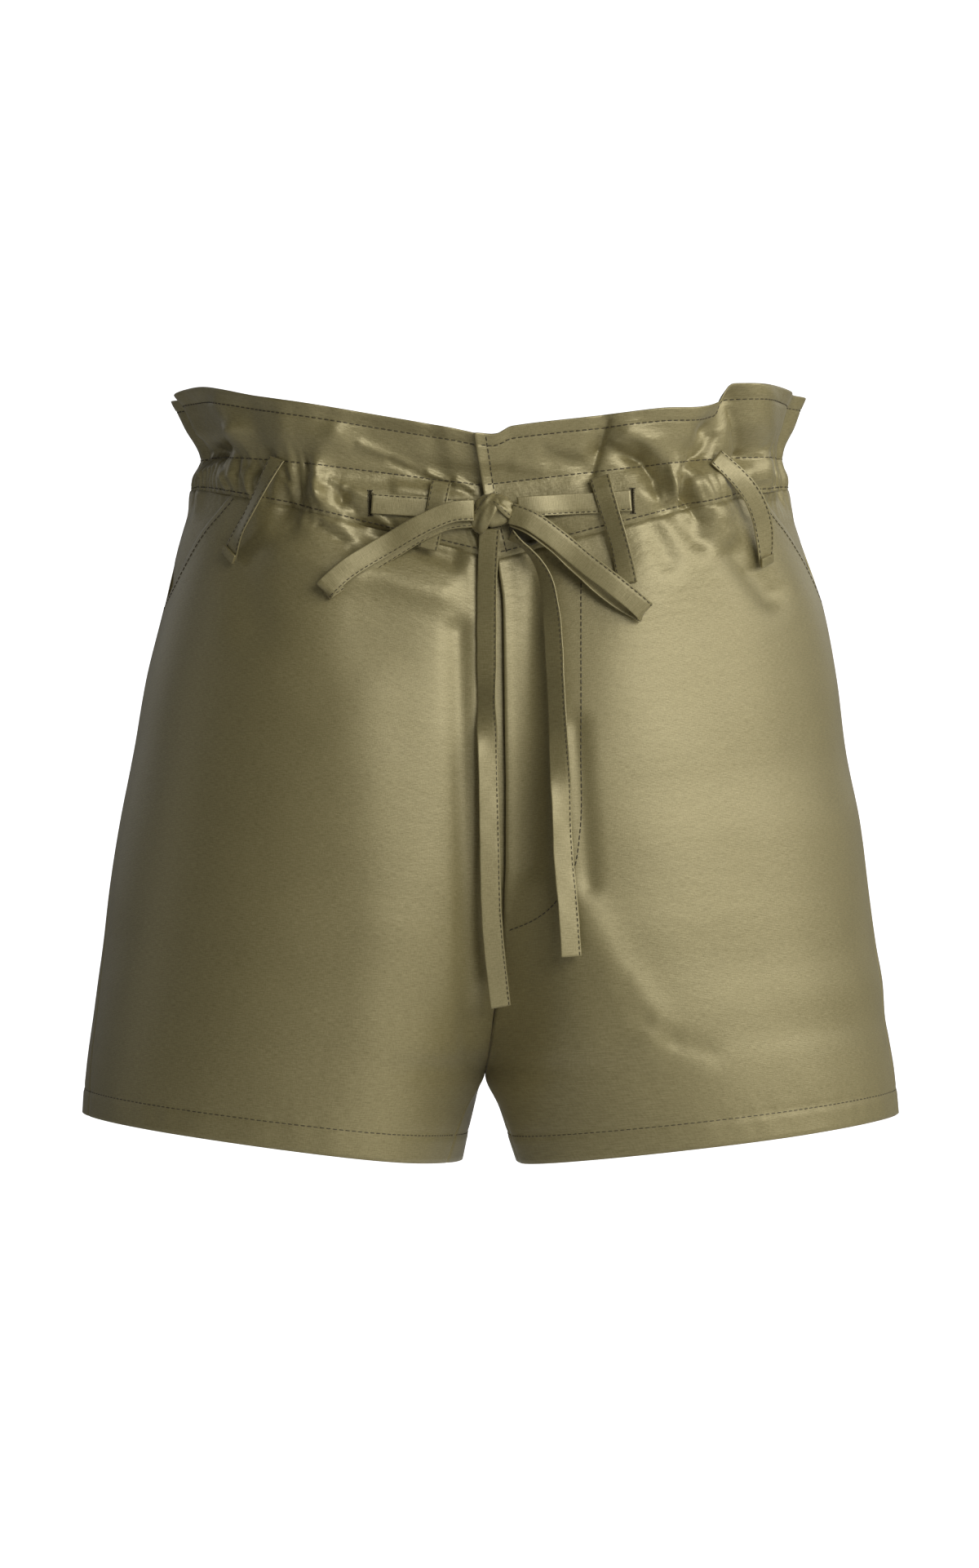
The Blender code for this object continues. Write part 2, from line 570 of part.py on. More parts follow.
def over(x, z, square, reach):
    """A point on the cloth's highest part near x, z, and the way out of it: straight to the front if square."""
    half, u, level = place(x, z)
    p = base(half, u, level)
    us = u + AROUND[:, 0] * reach / SPAN
    levels = level + AROUND[:, 1] * reach
    highest = rise(half, us, levels, base(half, us, levels)).max()
    if square:
        n = np.array([0.0, -1.0, 0.0])
        near = [base(*place(x + d, z)) for d in (-reach, reach)]
        p = np.array([x, min(p[1], near[0][1], near[1][1]), z])
    else:
        along = base(half, u + 0.01, level) - base(half, u - 0.01, level)
        n = np.array([-along[1], along[0], 0]) * (1 if half == "r" else -1)
        n /= np.linalg.norm(n)
    return p + n * highest, n


# Strips: x, z, clearance of the middle line from the cloth, twist in degrees.
STRIPS = {
    "belt_loop_right_outer": [
        (-100.9, 18, 1.2, 0), (-102.8, 10.3, 3.5, 0), (-105.9, 0.7, 6, 0), (-110.2, -8.2, 7, 0),
        (-115.2, -15.9, 6, 0), (-120.2, -22, 3.5, 0), (-123.6, -27.8, 1.2, 0)],
    "belt_loop_right_inner": [
        (-23.4, 5.5, 1.2, 0), (-24.4, 2.0, 3.4, 0), (-25.4, -3, 3.6, 0), (-26.6, -11, 3.6, 0),
        (-28.6, -18, 2.4, 0), (-30.1, -25.1, 1.2, 0)],
    "belt_loop_left_inner": [
        (51.2, 8, 1.2, 0), (52.4, 4.5, 3.4, 0), (54, -2, 4.2, 0), (56.6, -10, 5.5, 0), (60, -21, 6.5, 0),
        (62.7, -32, 4.0, 0), (64.3, -41.7, 1.2, 0)],
    "belt_loop_left_outer": [
        (105.9, 19.2, 1.2, 0), (112, 10.3, 5, 0), (117.8, 0.7, 8, 0), (122.8, -10.9, 8, 0),
        (127, -21.3, 5, 0), (130.1, -30.5, 1.2, 0)],
    "tie_right": [
        (-56.6, -3.6, 1.1, 0), (-39.3, -4.9, 1.1, 0), (-23.9, -5.9, 1.2, 0), (-15, -6.4, 1.6, 0),
        (-10.6, -6.6, 2.4, 0)],
    "tie_left": [
        (66.2, -2.4, 1.1, 0), (51.2, -3.6, 1.1, 0), (33.9, -4.3, 2.2, 0), (20.5, -5.3, 5.4, 0),
        (12.4, -5.9, 5.6, 0)],
    "bow_right": [
        (-8.1, -7.4, 9.6, 0), (-18, -7.8, 9.6, 0), (-27, -11.3, 9.0, 0), (-37.8, -16.8, 8.4, 0),
        (-48.5, -23.2, 8.0, 0), (-59.3, -29.5, 7.6, 0), (-70.1, -36.7, 7.2, 0), (-76.0, -42.2, 6.9, 0),
        (-79.0, -45.2, 6.2, 0), (-80.4, -46.6, 4.4, 0), (-79.2, -45.6, 2.6, 0), (-76.2, -43.2, 2.0, 0),
        (-70.1, -39.6, 2.2, 0), (-59.3, -33.4, 3.2, 0), (-48.5, -26.8, 4.2, 0), (-37.8, -20.1, 5.2, 0),
        (-27, -14.1, 5.8, 0), (-18, -10.9, 6.0, 0), (-8.95, -10.4, 6.0, 0)],
    "bow_left": [
        (9.1, -8.8, 9.4, 0), (18, -11.6, 11.4, 0), (23.8, -15.6, 11.4, 0), (33.9, -23.2, 11.2, 0),
        (43.5, -31.4, 10.8, 0), (53.1, -38.8, 10.2, 0), (62.7, -46.4, 9.4, 0), (69.0, -51.6, 8.8, 0),
        (72.6, -54.8, 7.6, 0), (74.0, -56.2, 5.4, 0), (72.6, -55.6, 3.2, 0), (69.2, -53.8, 2.6, 0),
        (60.8, -49.8, 2.8, 0), (51.2, -43.2, 3.8, 0), (39.6, -33.4, 5.4, 0), (28.1, -22.6, 7.2, 0),
        (18.9, -14.4, 8.4, 0), (10.4, -10.2, 7.6, 0)],
    "tail_right": [
        (-0.6, -15.8, 6.4, 12), (-1.2, -24, 5.6, 16), (-1.8, -36, 4.6, 18), (-2, -56.3, 4.0, 18),
        (-2, -82.1, 4.0, 20), (-2, -103, 5.0, 28), (-1.9, -110, 5.4, 10), (-1.7, -118, 5.4, -10),
        (-0.8, -156.4, 7.0, -12), (0.7, -206.5, 10.0, -10), (4.6, -242.3, 13.0, -10)],
    "tail_left": [
        (9.0, -18.8, 7.4, 60), (13, -21.4, 8.0, 78), (17.6, -25.2, 8.2, 80), (22.2, -30.4, 8.2, 70),
        (26, -38.6, 7.8, 54), (28.5, -56.3, 6.4, 36), (30.4, -89.8, 6.0, 32), (31.5, -110, 6.0, 30),
        (32.4, -130, 6.0, 8), (33, -142, 6.0, -14), (33.9, -170.7, 6.6, -16), (36.2, -193.8, 7.4, -14),
        (37.7, -217.6, 8.4, -14)],
}
TIE_REACH = 4.0     # how far round a strip's middle line the cloth's height counts


def spline(rows, step):
    """Smooth path through a strip's rows, by arc length."""
    rows = np.array(rows, float)
    run = np.concatenate([[0], np.cumsum(np.linalg.norm(np.diff(rows[:, :3], axis=0), axis=1))])
    n = max(2, int(round(run[-1] / step)))
    at = np.linspace(0, run[-1], n + 1)
    m = np.zeros_like(rows)
    d = np.diff(rows, axis=0) / np.diff(run)[:, None]
    h = np.diff(run)[:, None]
    m[1:-1] = (d[:-1] * h[1:] + d[1:] * h[:-1]) / (h[:-1] + h[1:])
    m[0], m[-1] = d[0], d[-1]
    i = np.clip(np.searchsorted(run, at, side="right") - 1, 0, len(run) - 2)
    s = ((at - run[i]) / np.diff(run)[i])[:, None]
    return ((1 + 2 * s) * (1 - s) ** 2 * rows[i] + s * (1 - s) ** 2 * h[i] * m[i]
            + s * s * (3 - 2 * s) * rows[i + 1] + s * s * (s - 1) * h[i] * m[i + 1])


def strip_path(name, step):
    """Middle line, width directions and normals of a strip."""
    square = "belt" not in name
    rows = spline(STRIPS[name], step)
    placed = [over(x, z, square, TIE_REACH) for x, z, _, _ in rows]
    lifted = np.array([p for p, _ in placed])
    outs = np.array([n for _, n in placed])
    for _ in range(3):      # the cloth's own small waves are smoothed out of the strip
        lifted[1:-1] = 0.25 * lifted[:-2] + 0.5 * lifted[1:-1] + 0.25 * lifted[2:]
    lifted = lifted + outs * rows[:, 2:3]
    t = np.gradient(lifted, axis=0)
    t /= np.linalg.norm(t, axis=1, keepdims=True)
    w = np.cross(outs, t)
    last = None
    for i in range(len(w)):
        size = np.linalg.norm(w[i])
        if size < 0.35 and last is not None:    # where the strip turns back on itself it keeps its last width
            w[i] = last - t[i] * np.dot(last, t[i])
            size = np.linalg.norm(w[i])
        w[i] /= size
        if last is not None and np.dot(w[i], last) < 0:
            w[i] = -w[i]
        last = w[i]
    n = np.cross(t, w)
    a = np.radians(rows[:, 3])[:, None]
    return lifted, w * np.cos(a) + n * np.sin(a), n * np.cos(a) - w * np.sin(a)


def strip(name):
    """A strip of folded cloth: a loft of flat square sections along its twisted path."""
    loop = name.startswith("belt_loop")
    half_width = 0.5 * (LOOP_WIDTH if loop else TIE_WIDTH)
    p, w, n = strip_path(name, 3.0 if name.startswith("bow") else 6.0)
    verts, faces = [], []
    for middle, across, out in zip(p, w, n):
        for a, b in ((-1, -1), (1, -1), (1, 1), (-1, 1)):
            verts.append(middle + across * a * half_width + out * b * 0.5 * STRIP_THICK)
    for i in range(len(p) - 1):
        for k in range(4):
            a, b = 4 * i + k, 4 * i + (k + 1) % 4
            faces.append((a, b, b + 4, a + 4))
    last = 4 * (len(p) - 1)
    faces += [(3, 2, 1, 0), (last, last + 1, last + 2, last + 3)]
    # w x n runs with or against the path, and the faces point out in one of the two cases only
    if np.dot(np.cross(w[0], n[0]), p[1] - p[0]) < 0:
        faces = [face[::-1] for face in faces]
    return solid(name, verts, faces, "taffeta" if loop else "tie")


def knot(name):
    """A rounded knot: a sphere stretched, and swollen towards its corners."""
    on_cloth, _ = over(KNOT["x"], KNOT["z"], True, 6.0)
    centre = on_cloth + np.array([0, -KNOT["out"], 0])
    half = np.array([KNOT["half_x"], KNOT["half_y"], KNOT["half_z"]])
    work = bmesh.new()
    bmesh.ops.create_uvsphere(work, u_segments=18, v_segments=8, radius=1.0)
    for vert in work.verts:
        v = np.array(vert.co)
        v /= (abs(v) ** KNOT["swell"]).sum() ** (1 / KNOT["swell"])
        vert.co = (centre + v * half) * MM
    mesh = bpy.data.meshes.new(name)
    work.to_mesh(mesh)
    work.free()
    return add(name, mesh, "tie")


def button(name):
    """A flat sew-on button with a raised rim, turned about its axis and square to the front."""
    r, t, rim, dish = BUTTON["radius"], BUTTON["thick"], BUTTON["rim"], BUTTON["dish"]
    profile = [(0, t - dish), (r - rim, t - dish), (r - rim + 0.8, t), (r - 0.6, t - 0.1), (r, t - 0.9),
               (r - 0.3, 0.4), (r - 1.6, 0), (0, 0)]
    mesh = bpy.data.meshes.new(name)
    edges = [(k, k + 1) for k in range(len(profile) - 1)]
    mesh.from_pydata([(x * MM, 0, z * MM) for x, z in profile], edges, [])
    obj = add(name, mesh, "button")
    turn = obj.modifiers.new("turn", "SCREW")
    turn.angle = 2 * math.pi
    turn.steps = turn.render_steps = 24
    turn.use_merge_vertices = True
    turn.merge_threshold = 0.0001
    on_cloth, _ = over(BUTTON["x"], BUTTON["z"], True, 8.0)
    obj.location = (on_cloth + np.array([0, -BUTTON["off"], 0])) * MM
    obj.rotation_euler = (math.radians(90), 0, 0)
    return obj


for old in list(bpy.data.objects):
    bpy.data.objects.remove(old, do_unlink=True)
bpy.context.scene.unit_settings.scale_length = 1.0
bpy.context.scene.collection.children.link(COLLECTION)

for side_name in ("right", "left"):
    half_name = side_name[0]
    front_panel("front_" + side_name, half_name)
    back_panel("back_" + side_name, half_name)
    hip_piece("hip_piece_" + side_name, half_name)
    waist_front("waist_front_" + side_name, half_name)
waist_back("waist_back")
for strip_name in STRIPS:
    strip(strip_name)
knot("tie_knot")
button("button")
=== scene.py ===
"""Looks of the paper-bag shorts in satin taffeta: cloth shells, sewing, tie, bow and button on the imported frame.

The smooth form and the strips' routes repeat the part's own tables, in mm. Fine creases, rolled seams and stitches
are added to them here. r is the wearer's right half (x < 0, the image's left), l the wearer's left half.
"""

import math

import bmesh
import bpy
import numpy as np
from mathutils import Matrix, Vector


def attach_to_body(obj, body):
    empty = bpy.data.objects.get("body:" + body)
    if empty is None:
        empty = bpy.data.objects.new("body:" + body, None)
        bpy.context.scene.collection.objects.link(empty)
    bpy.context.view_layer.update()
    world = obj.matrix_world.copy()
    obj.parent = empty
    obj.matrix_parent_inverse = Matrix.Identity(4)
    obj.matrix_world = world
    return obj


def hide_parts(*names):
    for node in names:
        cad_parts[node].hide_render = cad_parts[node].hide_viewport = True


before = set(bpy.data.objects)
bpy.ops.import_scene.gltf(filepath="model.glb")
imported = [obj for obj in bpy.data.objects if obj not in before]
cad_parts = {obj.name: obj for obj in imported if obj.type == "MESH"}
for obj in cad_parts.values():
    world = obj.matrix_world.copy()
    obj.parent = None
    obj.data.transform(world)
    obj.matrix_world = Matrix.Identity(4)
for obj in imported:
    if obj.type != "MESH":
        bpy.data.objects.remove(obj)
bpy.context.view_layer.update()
bpy.ops.object.select_all(action="DESELECT")

MM = 0.001

# ---------------------------------------------------------------- camera, light and floor

CAMERA_AT = (-0.0008, -3.0, -0.1364)    # level with the hips
FRAME_HEIGHT = 0.7688                   # what the picture's height takes in at y = 0
FLOOR_Z = -1.15                         # where the wearer would stand, lower than the picture shows


def set_camera():
    data = bpy.data.cameras.new("camera")
    data.sensor_fit = "VERTICAL"
    data.angle = 2 * math.atan(0.5 * FRAME_HEIGHT / -CAMERA_AT[1])
    data.clip_end = 50
    camera = bpy.data.objects.new("camera", data)
    camera.location = CAMERA_AT
    camera.rotation_euler = (math.radians(90), 0, 0)
    bpy.context.scene.collection.objects.link(camera)
    bpy.context.scene.camera = camera


# Soft boxes in an arc to the camera's right make the satin's broad highlight: degrees round from the front,
# towards the wearer's left, and watts. The others are single: place, what it faces, width, height, watts.
ARC_BOXES = {"key_front": (23, 50), "key_right": (47, 34), "key_side": (74, 30), "key_far": (102, 10)}
ARC_RADIUS, ARC_WIDTH, ARC_HEIGHT, ARC_Z = 3.3, 1.4, 1.4, 1.0
AIM = (0.0, 0.0, -0.15)
WORLD_STRENGTH = 0.075
SINGLE_LIGHTS = {
    "left_strip": ((-3.0, 0.5, 0.3), AIM, 0.5, 1.6, 2.5),
    "back_right": ((1.6, 2.4, 0.9), AIM, 1.2, 1.4, 5),
    "back_left": ((-1.9, 2.2, 0.7), AIM, 1.2, 1.4, 3),
}


def add_light(name, place_, target, width, height, watts):
    data = bpy.data.lights.new(name, "AREA")
    data.shape = "RECTANGLE"
    data.size = width
    data.size_y = height
    data.energy = watts
    light = bpy.data.objects.new(name, data)
    light.location = place_
    light.rotation_euler = (Vector(target) - Vector(place_)).to_track_quat("-Z", "Y").to_euler()
    bpy.context.scene.collection.objects.link(light)


def add_lights():
    for name, (degrees, watts) in ARC_BOXES.items():
        a = math.radians(degrees)
        spot = (ARC_RADIUS * math.sin(a), -ARC_RADIUS * math.cos(a), ARC_Z)
        add_light(name, spot, AIM, ARC_WIDTH, ARC_HEIGHT, watts)
    for name, row in SINGLE_LIGHTS.items():
        add_light(name, *row)


def add_world():
    world = bpy.data.worlds.new("studio")
    world.use_nodes = True
    background = world.node_tree.nodes["Background"]
    background.inputs["Color"].default_value = (1, 1, 1, 1)
    background.inputs["Strength"].default_value = WORLD_STRENGTH
    bpy.context.scene.world = world
    bpy.context.scene.view_settings.view_transform = "Standard"


def stage_plane(name, corners, finish):
    mesh = bpy.data.meshes.new(name)
    mesh.from_pydata(corners, [], [(0, 1, 2, 3)])
    plane = bpy.data.objects.new(name, mesh)
    bpy.context.scene.collection.objects.link(plane)
    mesh.materials.append(finish)


def add_stage():
    """A pale floor, and a lit white wall well behind, wide enough for the picture."""
    reach, wall_y, half, top = 7.0, 4.6, 0.66, 0.88
    stage_plane("floor", [(-reach, -reach, FLOOR_Z), (reach, -reach, FLOOR_Z), (reach, reach, FLOOR_Z),
                          (-reach, reach, FLOOR_Z)], floor_finish())
    stage_plane("backdrop", [(-half, wall_y, FLOOR_Z), (half, wall_y, FLOOR_Z), (half, wall_y, top),
                             (-half, wall_y, top)], backdrop_finish())


# ---------------------------------------------------------------- materials

class Value:
    """A socket of a material's nodes, with the sums that are done on it."""

    def __init__(self, tree, socket):
        self.tree = tree
        self.socket = socket

    def math(self, operation, other=None, flip=False):
        node = self.tree.nodes.new("ShaderNodeMath")
        node.operation = operation
        for socket, value in zip(node.inputs, (other, self) if flip else (self, other)):
            feed(self.tree, socket, value)
        return Value(self.tree, node.outputs[0])

    def __add__(self, other):
        return self.math("ADD", other)

    def __mul__(self, other):
        return self.math("MULTIPLY", other)

    def __sub__(self, other):
        return self.math("SUBTRACT", other)

    def __rsub__(self, other):
        return self.math("SUBTRACT", other, flip=True)

    __radd__ = __add__
    __rmul__ = __mul__

    def within(self, low, high):
        return self.math("MINIMUM", high).math("MAXIMUM", low)


def feed(tree, socket, value):
    """Link a socket to a value of the nodes, or set it to a plain one."""
    if isinstance(value, Value):
        tree.links.new(value.socket, socket)
    elif value is not None:
        socket.default_value = value


class Finish:
    """A material with one Principled BSDF."""

    def __init__(self, name):
        self.material = bpy.data.materials.new(name)
        self.material.use_nodes = True
        self.tree = self.material.node_tree
        self.shader = self.tree.nodes["Principled BSDF"]

    def node(self, kind, settings=None, output=0, **inputs):
        """Output of a new node. An input is named, or numbered as in i6."""
        made = self.tree.nodes.new(kind)
        for key, value in (settings or {}).items():
            setattr(made, key, value)
        for key, value in inputs.items():
            feed(self.tree, made.inputs[int(key[1:]) if key[1:].isdigit() else key], value)
        return Value(self.tree, made.outputs[output])

    def put(self, **inputs):
        for key, value in inputs.items():
            feed(self.tree, self.shader.inputs[key.replace("_", " ")], value)

    def blend(self, share, first, second):
        return self.node("ShaderNodeMix", {"data_type": "RGBA"}, output=2, i0=share, i6=first, i7=second)

    def noise(self, vector, scale, detail=2.0, rough=0.5):
        return self.node("ShaderNodeTexNoise", Vector=vector, Scale=scale, Detail=detail, Roughness=rough)

    def stretch(self, vector, across, along):
        return self.node("ShaderNodeMapping", Vector=vector, Scale=(across, along, 1.0))

    def where(self):
        """Object coordinates, in metres."""
        return self.node("ShaderNodeTexCoord", output=3)


OLIVE = (0.262, 0.218, 0.090, 1)
OLIVE_DEEP = (0.190, 0.156, 0.058, 1)
OLIVE_PALE = (0.330, 0.282, 0.132, 1)
WEAVE_RELIEF, CRUMPLE_RELIEF = 0.00018, 0.0006      # m
CRUMPLE_FOOT, CRUMPLE_RUN = -75.0, 80.0             # level where the crumple is faintest, and its rise above, mm


def satin(name, crumpled):
    """Satin-faced taffeta: a fine weave with slubs, read from the cloth's own map in mm."""
    f = Finish(name)
    at = f.node("ShaderNodeUVMap", {"uv_map": "cloth"})
    slub = f.noise(f.stretch(at, 0.35, 2.6), 1.0, 3.0, 0.6)
    warp = f.noise(f.stretch(at, 2.4, 0.5), 1.0, 3.0, 0.6)
    cloud = f.noise(at, 0.045)
    grain = (slub - 0.5) * 2.6 + (warp - 0.5) * 1.6 + 0.5
    colour = f.blend(grain.within(0.0, 1.0), OLIVE_DEEP, OLIVE_PALE)
    colour = f.blend(0.35, colour, f.blend(cloud, OLIVE_DEEP, OLIVE))
    weave = f.node("ShaderNodeTexWave", {"wave_type": "BANDS", "bands_direction": "Y"},
                   Vector=at, Scale=0.55, Distortion=0.6, Detail=1.0)
    bump = f.node("ShaderNodeBump", Strength=0.25, Distance=WEAVE_RELIEF,
                  Height=slub * 0.8 + warp * 0.6 + weave * 0.25)
    if crumpled:
        # taffeta crumples finely, most of all where it is gathered
        level = f.node("ShaderNodeSeparateXYZ", output=1, Vector=at)
        gathered = ((level - CRUMPLE_FOOT) * (1 / CRUMPLE_RUN)).within(0.25, 1.0)
        crumple = f.noise(f.stretch(at, 0.085, 0.17), 1.0, 4.0, 0.62) * gathered
        bump = f.node("ShaderNodeBump", Strength=0.9, Distance=CRUMPLE_RELIEF, Height=crumple, Normal=bump)
    f.put(Base_Color=colour, Roughness=0.45 + (slub - 0.5) * 0.10 + (cloud - 0.5) * 0.06, Normal=bump,
          Metallic=0.35, Specular_IOR_Level=0.8, Sheen_Weight=0.10, Sheen_Roughness=0.45)
    return f.material


def clouded(name, scale, detail, dark, pale, rough, rough_more):
    """A plain finish whose colour wanders between two shades."""
    f = Finish(name)
    cloud = f.noise(f.where(), scale, detail)
    f.put(Base_Color=f.blend(cloud, dark, pale), Roughness=rough + cloud * rough_more if rough_more else rough)
    return f.material


def thread_finish():
    return clouded("sewing_thread", 2600.0, 1.0, (0.030, 0.024, 0.010, 1), (0.085, 0.068, 0.030, 1), 0.55, 0.1)


def dark_finish():
    """The unlit inside that shows through a slit."""
    f = Finish("slit_shadow")
    f.put(Base_Color=(0.020, 0.016, 0.007, 1), Roughness=0.9, Specular_IOR_Level=0.1)
    return f.material


def button_finish():
    """Dull horn-like plastic, a shade darker in its clouds."""
    return clouded("button_plastic", 190.0, 3.0, (0.060, 0.052, 0.026, 1), (0.130, 0.112, 0.060, 1), 0.30, 0.18)


def floor_finish():
    return clouded("pale_floor", 1.4, 1.0, (0.90, 0.90, 0.90, 1), (0.93, 0.93, 0.93, 1), 0.8, 0.0)


def backdrop_finish():
    f = Finish("white_backdrop")
    f.put(Base_Color=(0.9, 0.9, 0.9, 1), Roughness=0.9, Emission_Color=(1, 1, 1, 1), Emission_Strength=1.0)
    return f.material


# ---------------------------------------------------------------- the smooth form, as in the part

WALL = 1.6      # the solids' wall, mm
SEAM = 0.02     # two pieces meet at a seam all but closed, mm
CLOTH = 0.7     # thickness of the shells shown, mm

LEVEL_COLUMNS = (
    "side front back side_r side_l side_y in_r in_l in_y front_r front_l front_y turn_r turn_l "
    "end_r end_l end_y back_x back_y bturn_r bturn_l"
).split()
LEVELS = [
    # side front back  s_r   s_l  s_y   in_r  in_l in_y    fr  fl  fy    t_r t_l e_r e_l  e_y   bx   by  b_r  b_l
    (54, 29, 38, 152.5, 151.0, 6, -8, -8, -114, 74, 74, -113, 0, 0, 0, 0, 112, 76, 109, 0, 0),
    (38, 17, 25, 147.0, 146.0, 4, -6, -6, -111, 72, 72, -110, 0, 0, 0, 0, 108, 76, 105, 0, 0),
    (22, 5, 12, 139.5, 138.5, 2, -4, -4, -106, 70, 70, -105, 0, 0, 0, 0, 102, 75, 99, 0, 0),
    (14, -13, 1, 141.5, 140.5, 2, -1, -1, -106, 70, 70, -105.5, 0, 0, 0, 0, 103, 76, 100, 0, 0),
    (7, -30, -10, 144.5, 143.0, 2, 3, 3, -105, 70, 70, -105, 2, 2, 0, 0, 104, 77, 101, 0, 0),
    (-20, -53, -36, 153.2, 152.6, 2, 6, 6, -106, 69, 62, -109, 5, 6, 0, 0, 111, 80, 109, 0, 0),
    (-50, -80, -65, 160.5, 162.6, 2, 6.5, 6.5, -107, 68, 51, -112.5, 8, 10, 0, 0, 120, 82, 118, 0, 0),
    (-85, -111, -98, 169.3, 169.4, 3, 7, 7, -107, 67, 46, -115.5, 12, 14, 0, 0, 129, 84, 127, 0, 0),
    (-120, -142, -130, 175.2, 174.0, 4, 7.5, 7.5, -105, 67, 45, -117.5, 16, 18, 0, 0, 134, 86, 133, 0, 0),
    (-155, -173, -163, 181.8, 181.0, 4, 7.5, 7.5, -101, 68, 50, -118, 22, 24, 0, 0, 134, 88, 136, 4, 4),
    (-190, -204, -196, 187.3, 185.4, 4, 6, 6, -94, 70, 56, -118, 30, 32, 0, 0, 127, 91, 136, 14, 14),
    (-215, -229, -222, 190.3, 188.8, 4, 4, 4, -84, 72, 62, -117, 38, 40, -1, -1, 113, 93, 133, 30, 30),
    (-235, -249, -244, 193.2, 192.2, 4, 1, 1, -70, 74, 69, -116, 48, 52, -2, -2, 88, 95, 130, 52, 50),
    (-250, -265, -261, 195.3, 193.2, 4, -1, -1, -54, 76, 76, -114.5, 60, 64, -3, -3, 46, 97, 127, 76, 72),
    (-260, -277, -277, 196.8, 195.0, 4, -3, -3, -34, 78, 83, -113, 68, 78, -3, -3, -34, 98, 124, 87, 86),
    (-275, -294, -294, 198.7, 197.5, 4, -13, 5, -42, 80, 91, -110.5, 70, 84, -13, 5, -42, 98, 120, 103, 95),
    (-297, -319, -319, 200.4, 199.7, 4, -22, 14, -50, 82, 103, -106, 72, 88, -22, 14, -50, 97, 113, 108, 97),
]
FRILL_TOP, CASING_FOOT, POCKET_FOOT, HEM = 54, 7, -54, -297     # levels at the front, mm
CROTCH_LEVEL = -260
ARC = 40                # points of a quarter of a ring
QUARTER = 0.5523        # handle of a curve that makes a quarter of an ellipse
HOLD_LEVEL = -150.0     # below it the crowns keep their place round the cloth
HELD = {}
RINGS = {}
SPAN = 445.0            # a half round from centre front to centre back, mm


def unit(v):
    return v / np.linalg.norm(v, axis=-1, keepdims=True)


def lengths(points):
    """Length run along a line of points, at each of them."""
    return np.concatenate([[0], np.cumsum(np.linalg.norm(np.diff(points, axis=0), axis=1))])


def hermite(s, h, y0, m0, y1, m1):
    """Value at share s of a span h wide, from both ends' values and slopes."""
    return ((1 + 2 * s) * (1 - s) ** 2 * y0 + s * (1 - s) ** 2 * h * m0
            + s * s * (3 - 2 * s) * y1 + s * s * (s - 1) * h * m1)


def slopes(xs, ys):
    h = np.diff(xs)
    d = np.diff(ys) / h
    m = np.zeros(len(xs))
    m[0], m[-1] = d[0], d[-1]
    for i in range(1, len(xs) - 1):
        if d[i - 1] * d[i] > 0:
            a, b = 2 * h[i] + h[i - 1], h[i] + 2 * h[i - 1]
            m[i] = (a + b) / (a / d[i - 1] + b / d[i])
    return m


def monotone(xs, ys, x, m=None):
    """Smooth curve through a table's points that never overshoots them. xs rise."""
    h = np.diff(xs)
    m = slopes(xs, ys) if m is None else m
    x = np.clip(x, xs[0], xs[-1])
    i = np.clip(np.searchsorted(xs, x, side="right") - 1, 0, len(h) - 1)
    return hermite((x - xs[i]) / h[i], h[i], ys[i], m[i], ys[i + 1], m[i + 1])


TABLE = np.array(LEVELS, float)[::-1]
RISING = TABLE[:, 0]
TABLE_SLOPES = [slopes(RISING, TABLE[:, k]) for k in range(TABLE.shape[1])]


def section(level):
    """One row of the table at any level, as a dict."""
    out = {"side": level}
    for k, name in enumerate(LEVEL_COLUMNS[1:], 1):
        out[name] = float(monotone(RISING, TABLE[:, k], level, TABLE_SLOPES[k]))
    if level < CROTCH_LEVEL:
        out.update(end_r=out["in_r"], end_l=out["in_l"], end_y=out["in_y"], back=out["front"])
    for edge, other in ((0, 1), (-1, -2)):
        over = level - RISING[edge]
        if (edge == 0 and over < 0) or (edge == -1 and over > 0):
            slope = (TABLE[edge] - TABLE[other]) / (RISING[edge] - RISING[other])
            for k, name in enumerate(LEVEL_COLUMNS[1:], 1):
                out[name] = float(TABLE[edge, k] + slope[k] * over)
    return out


def bezier(p0, p1, p2, p3, n):
    s = np.linspace(0, 1, n + 1)[:, None]
    return (1 - s) ** 3 * p0 + 3 * s * (1 - s) ** 2 * p1 + 3 * s * s * (1 - s) * p2 + s**3 * p3


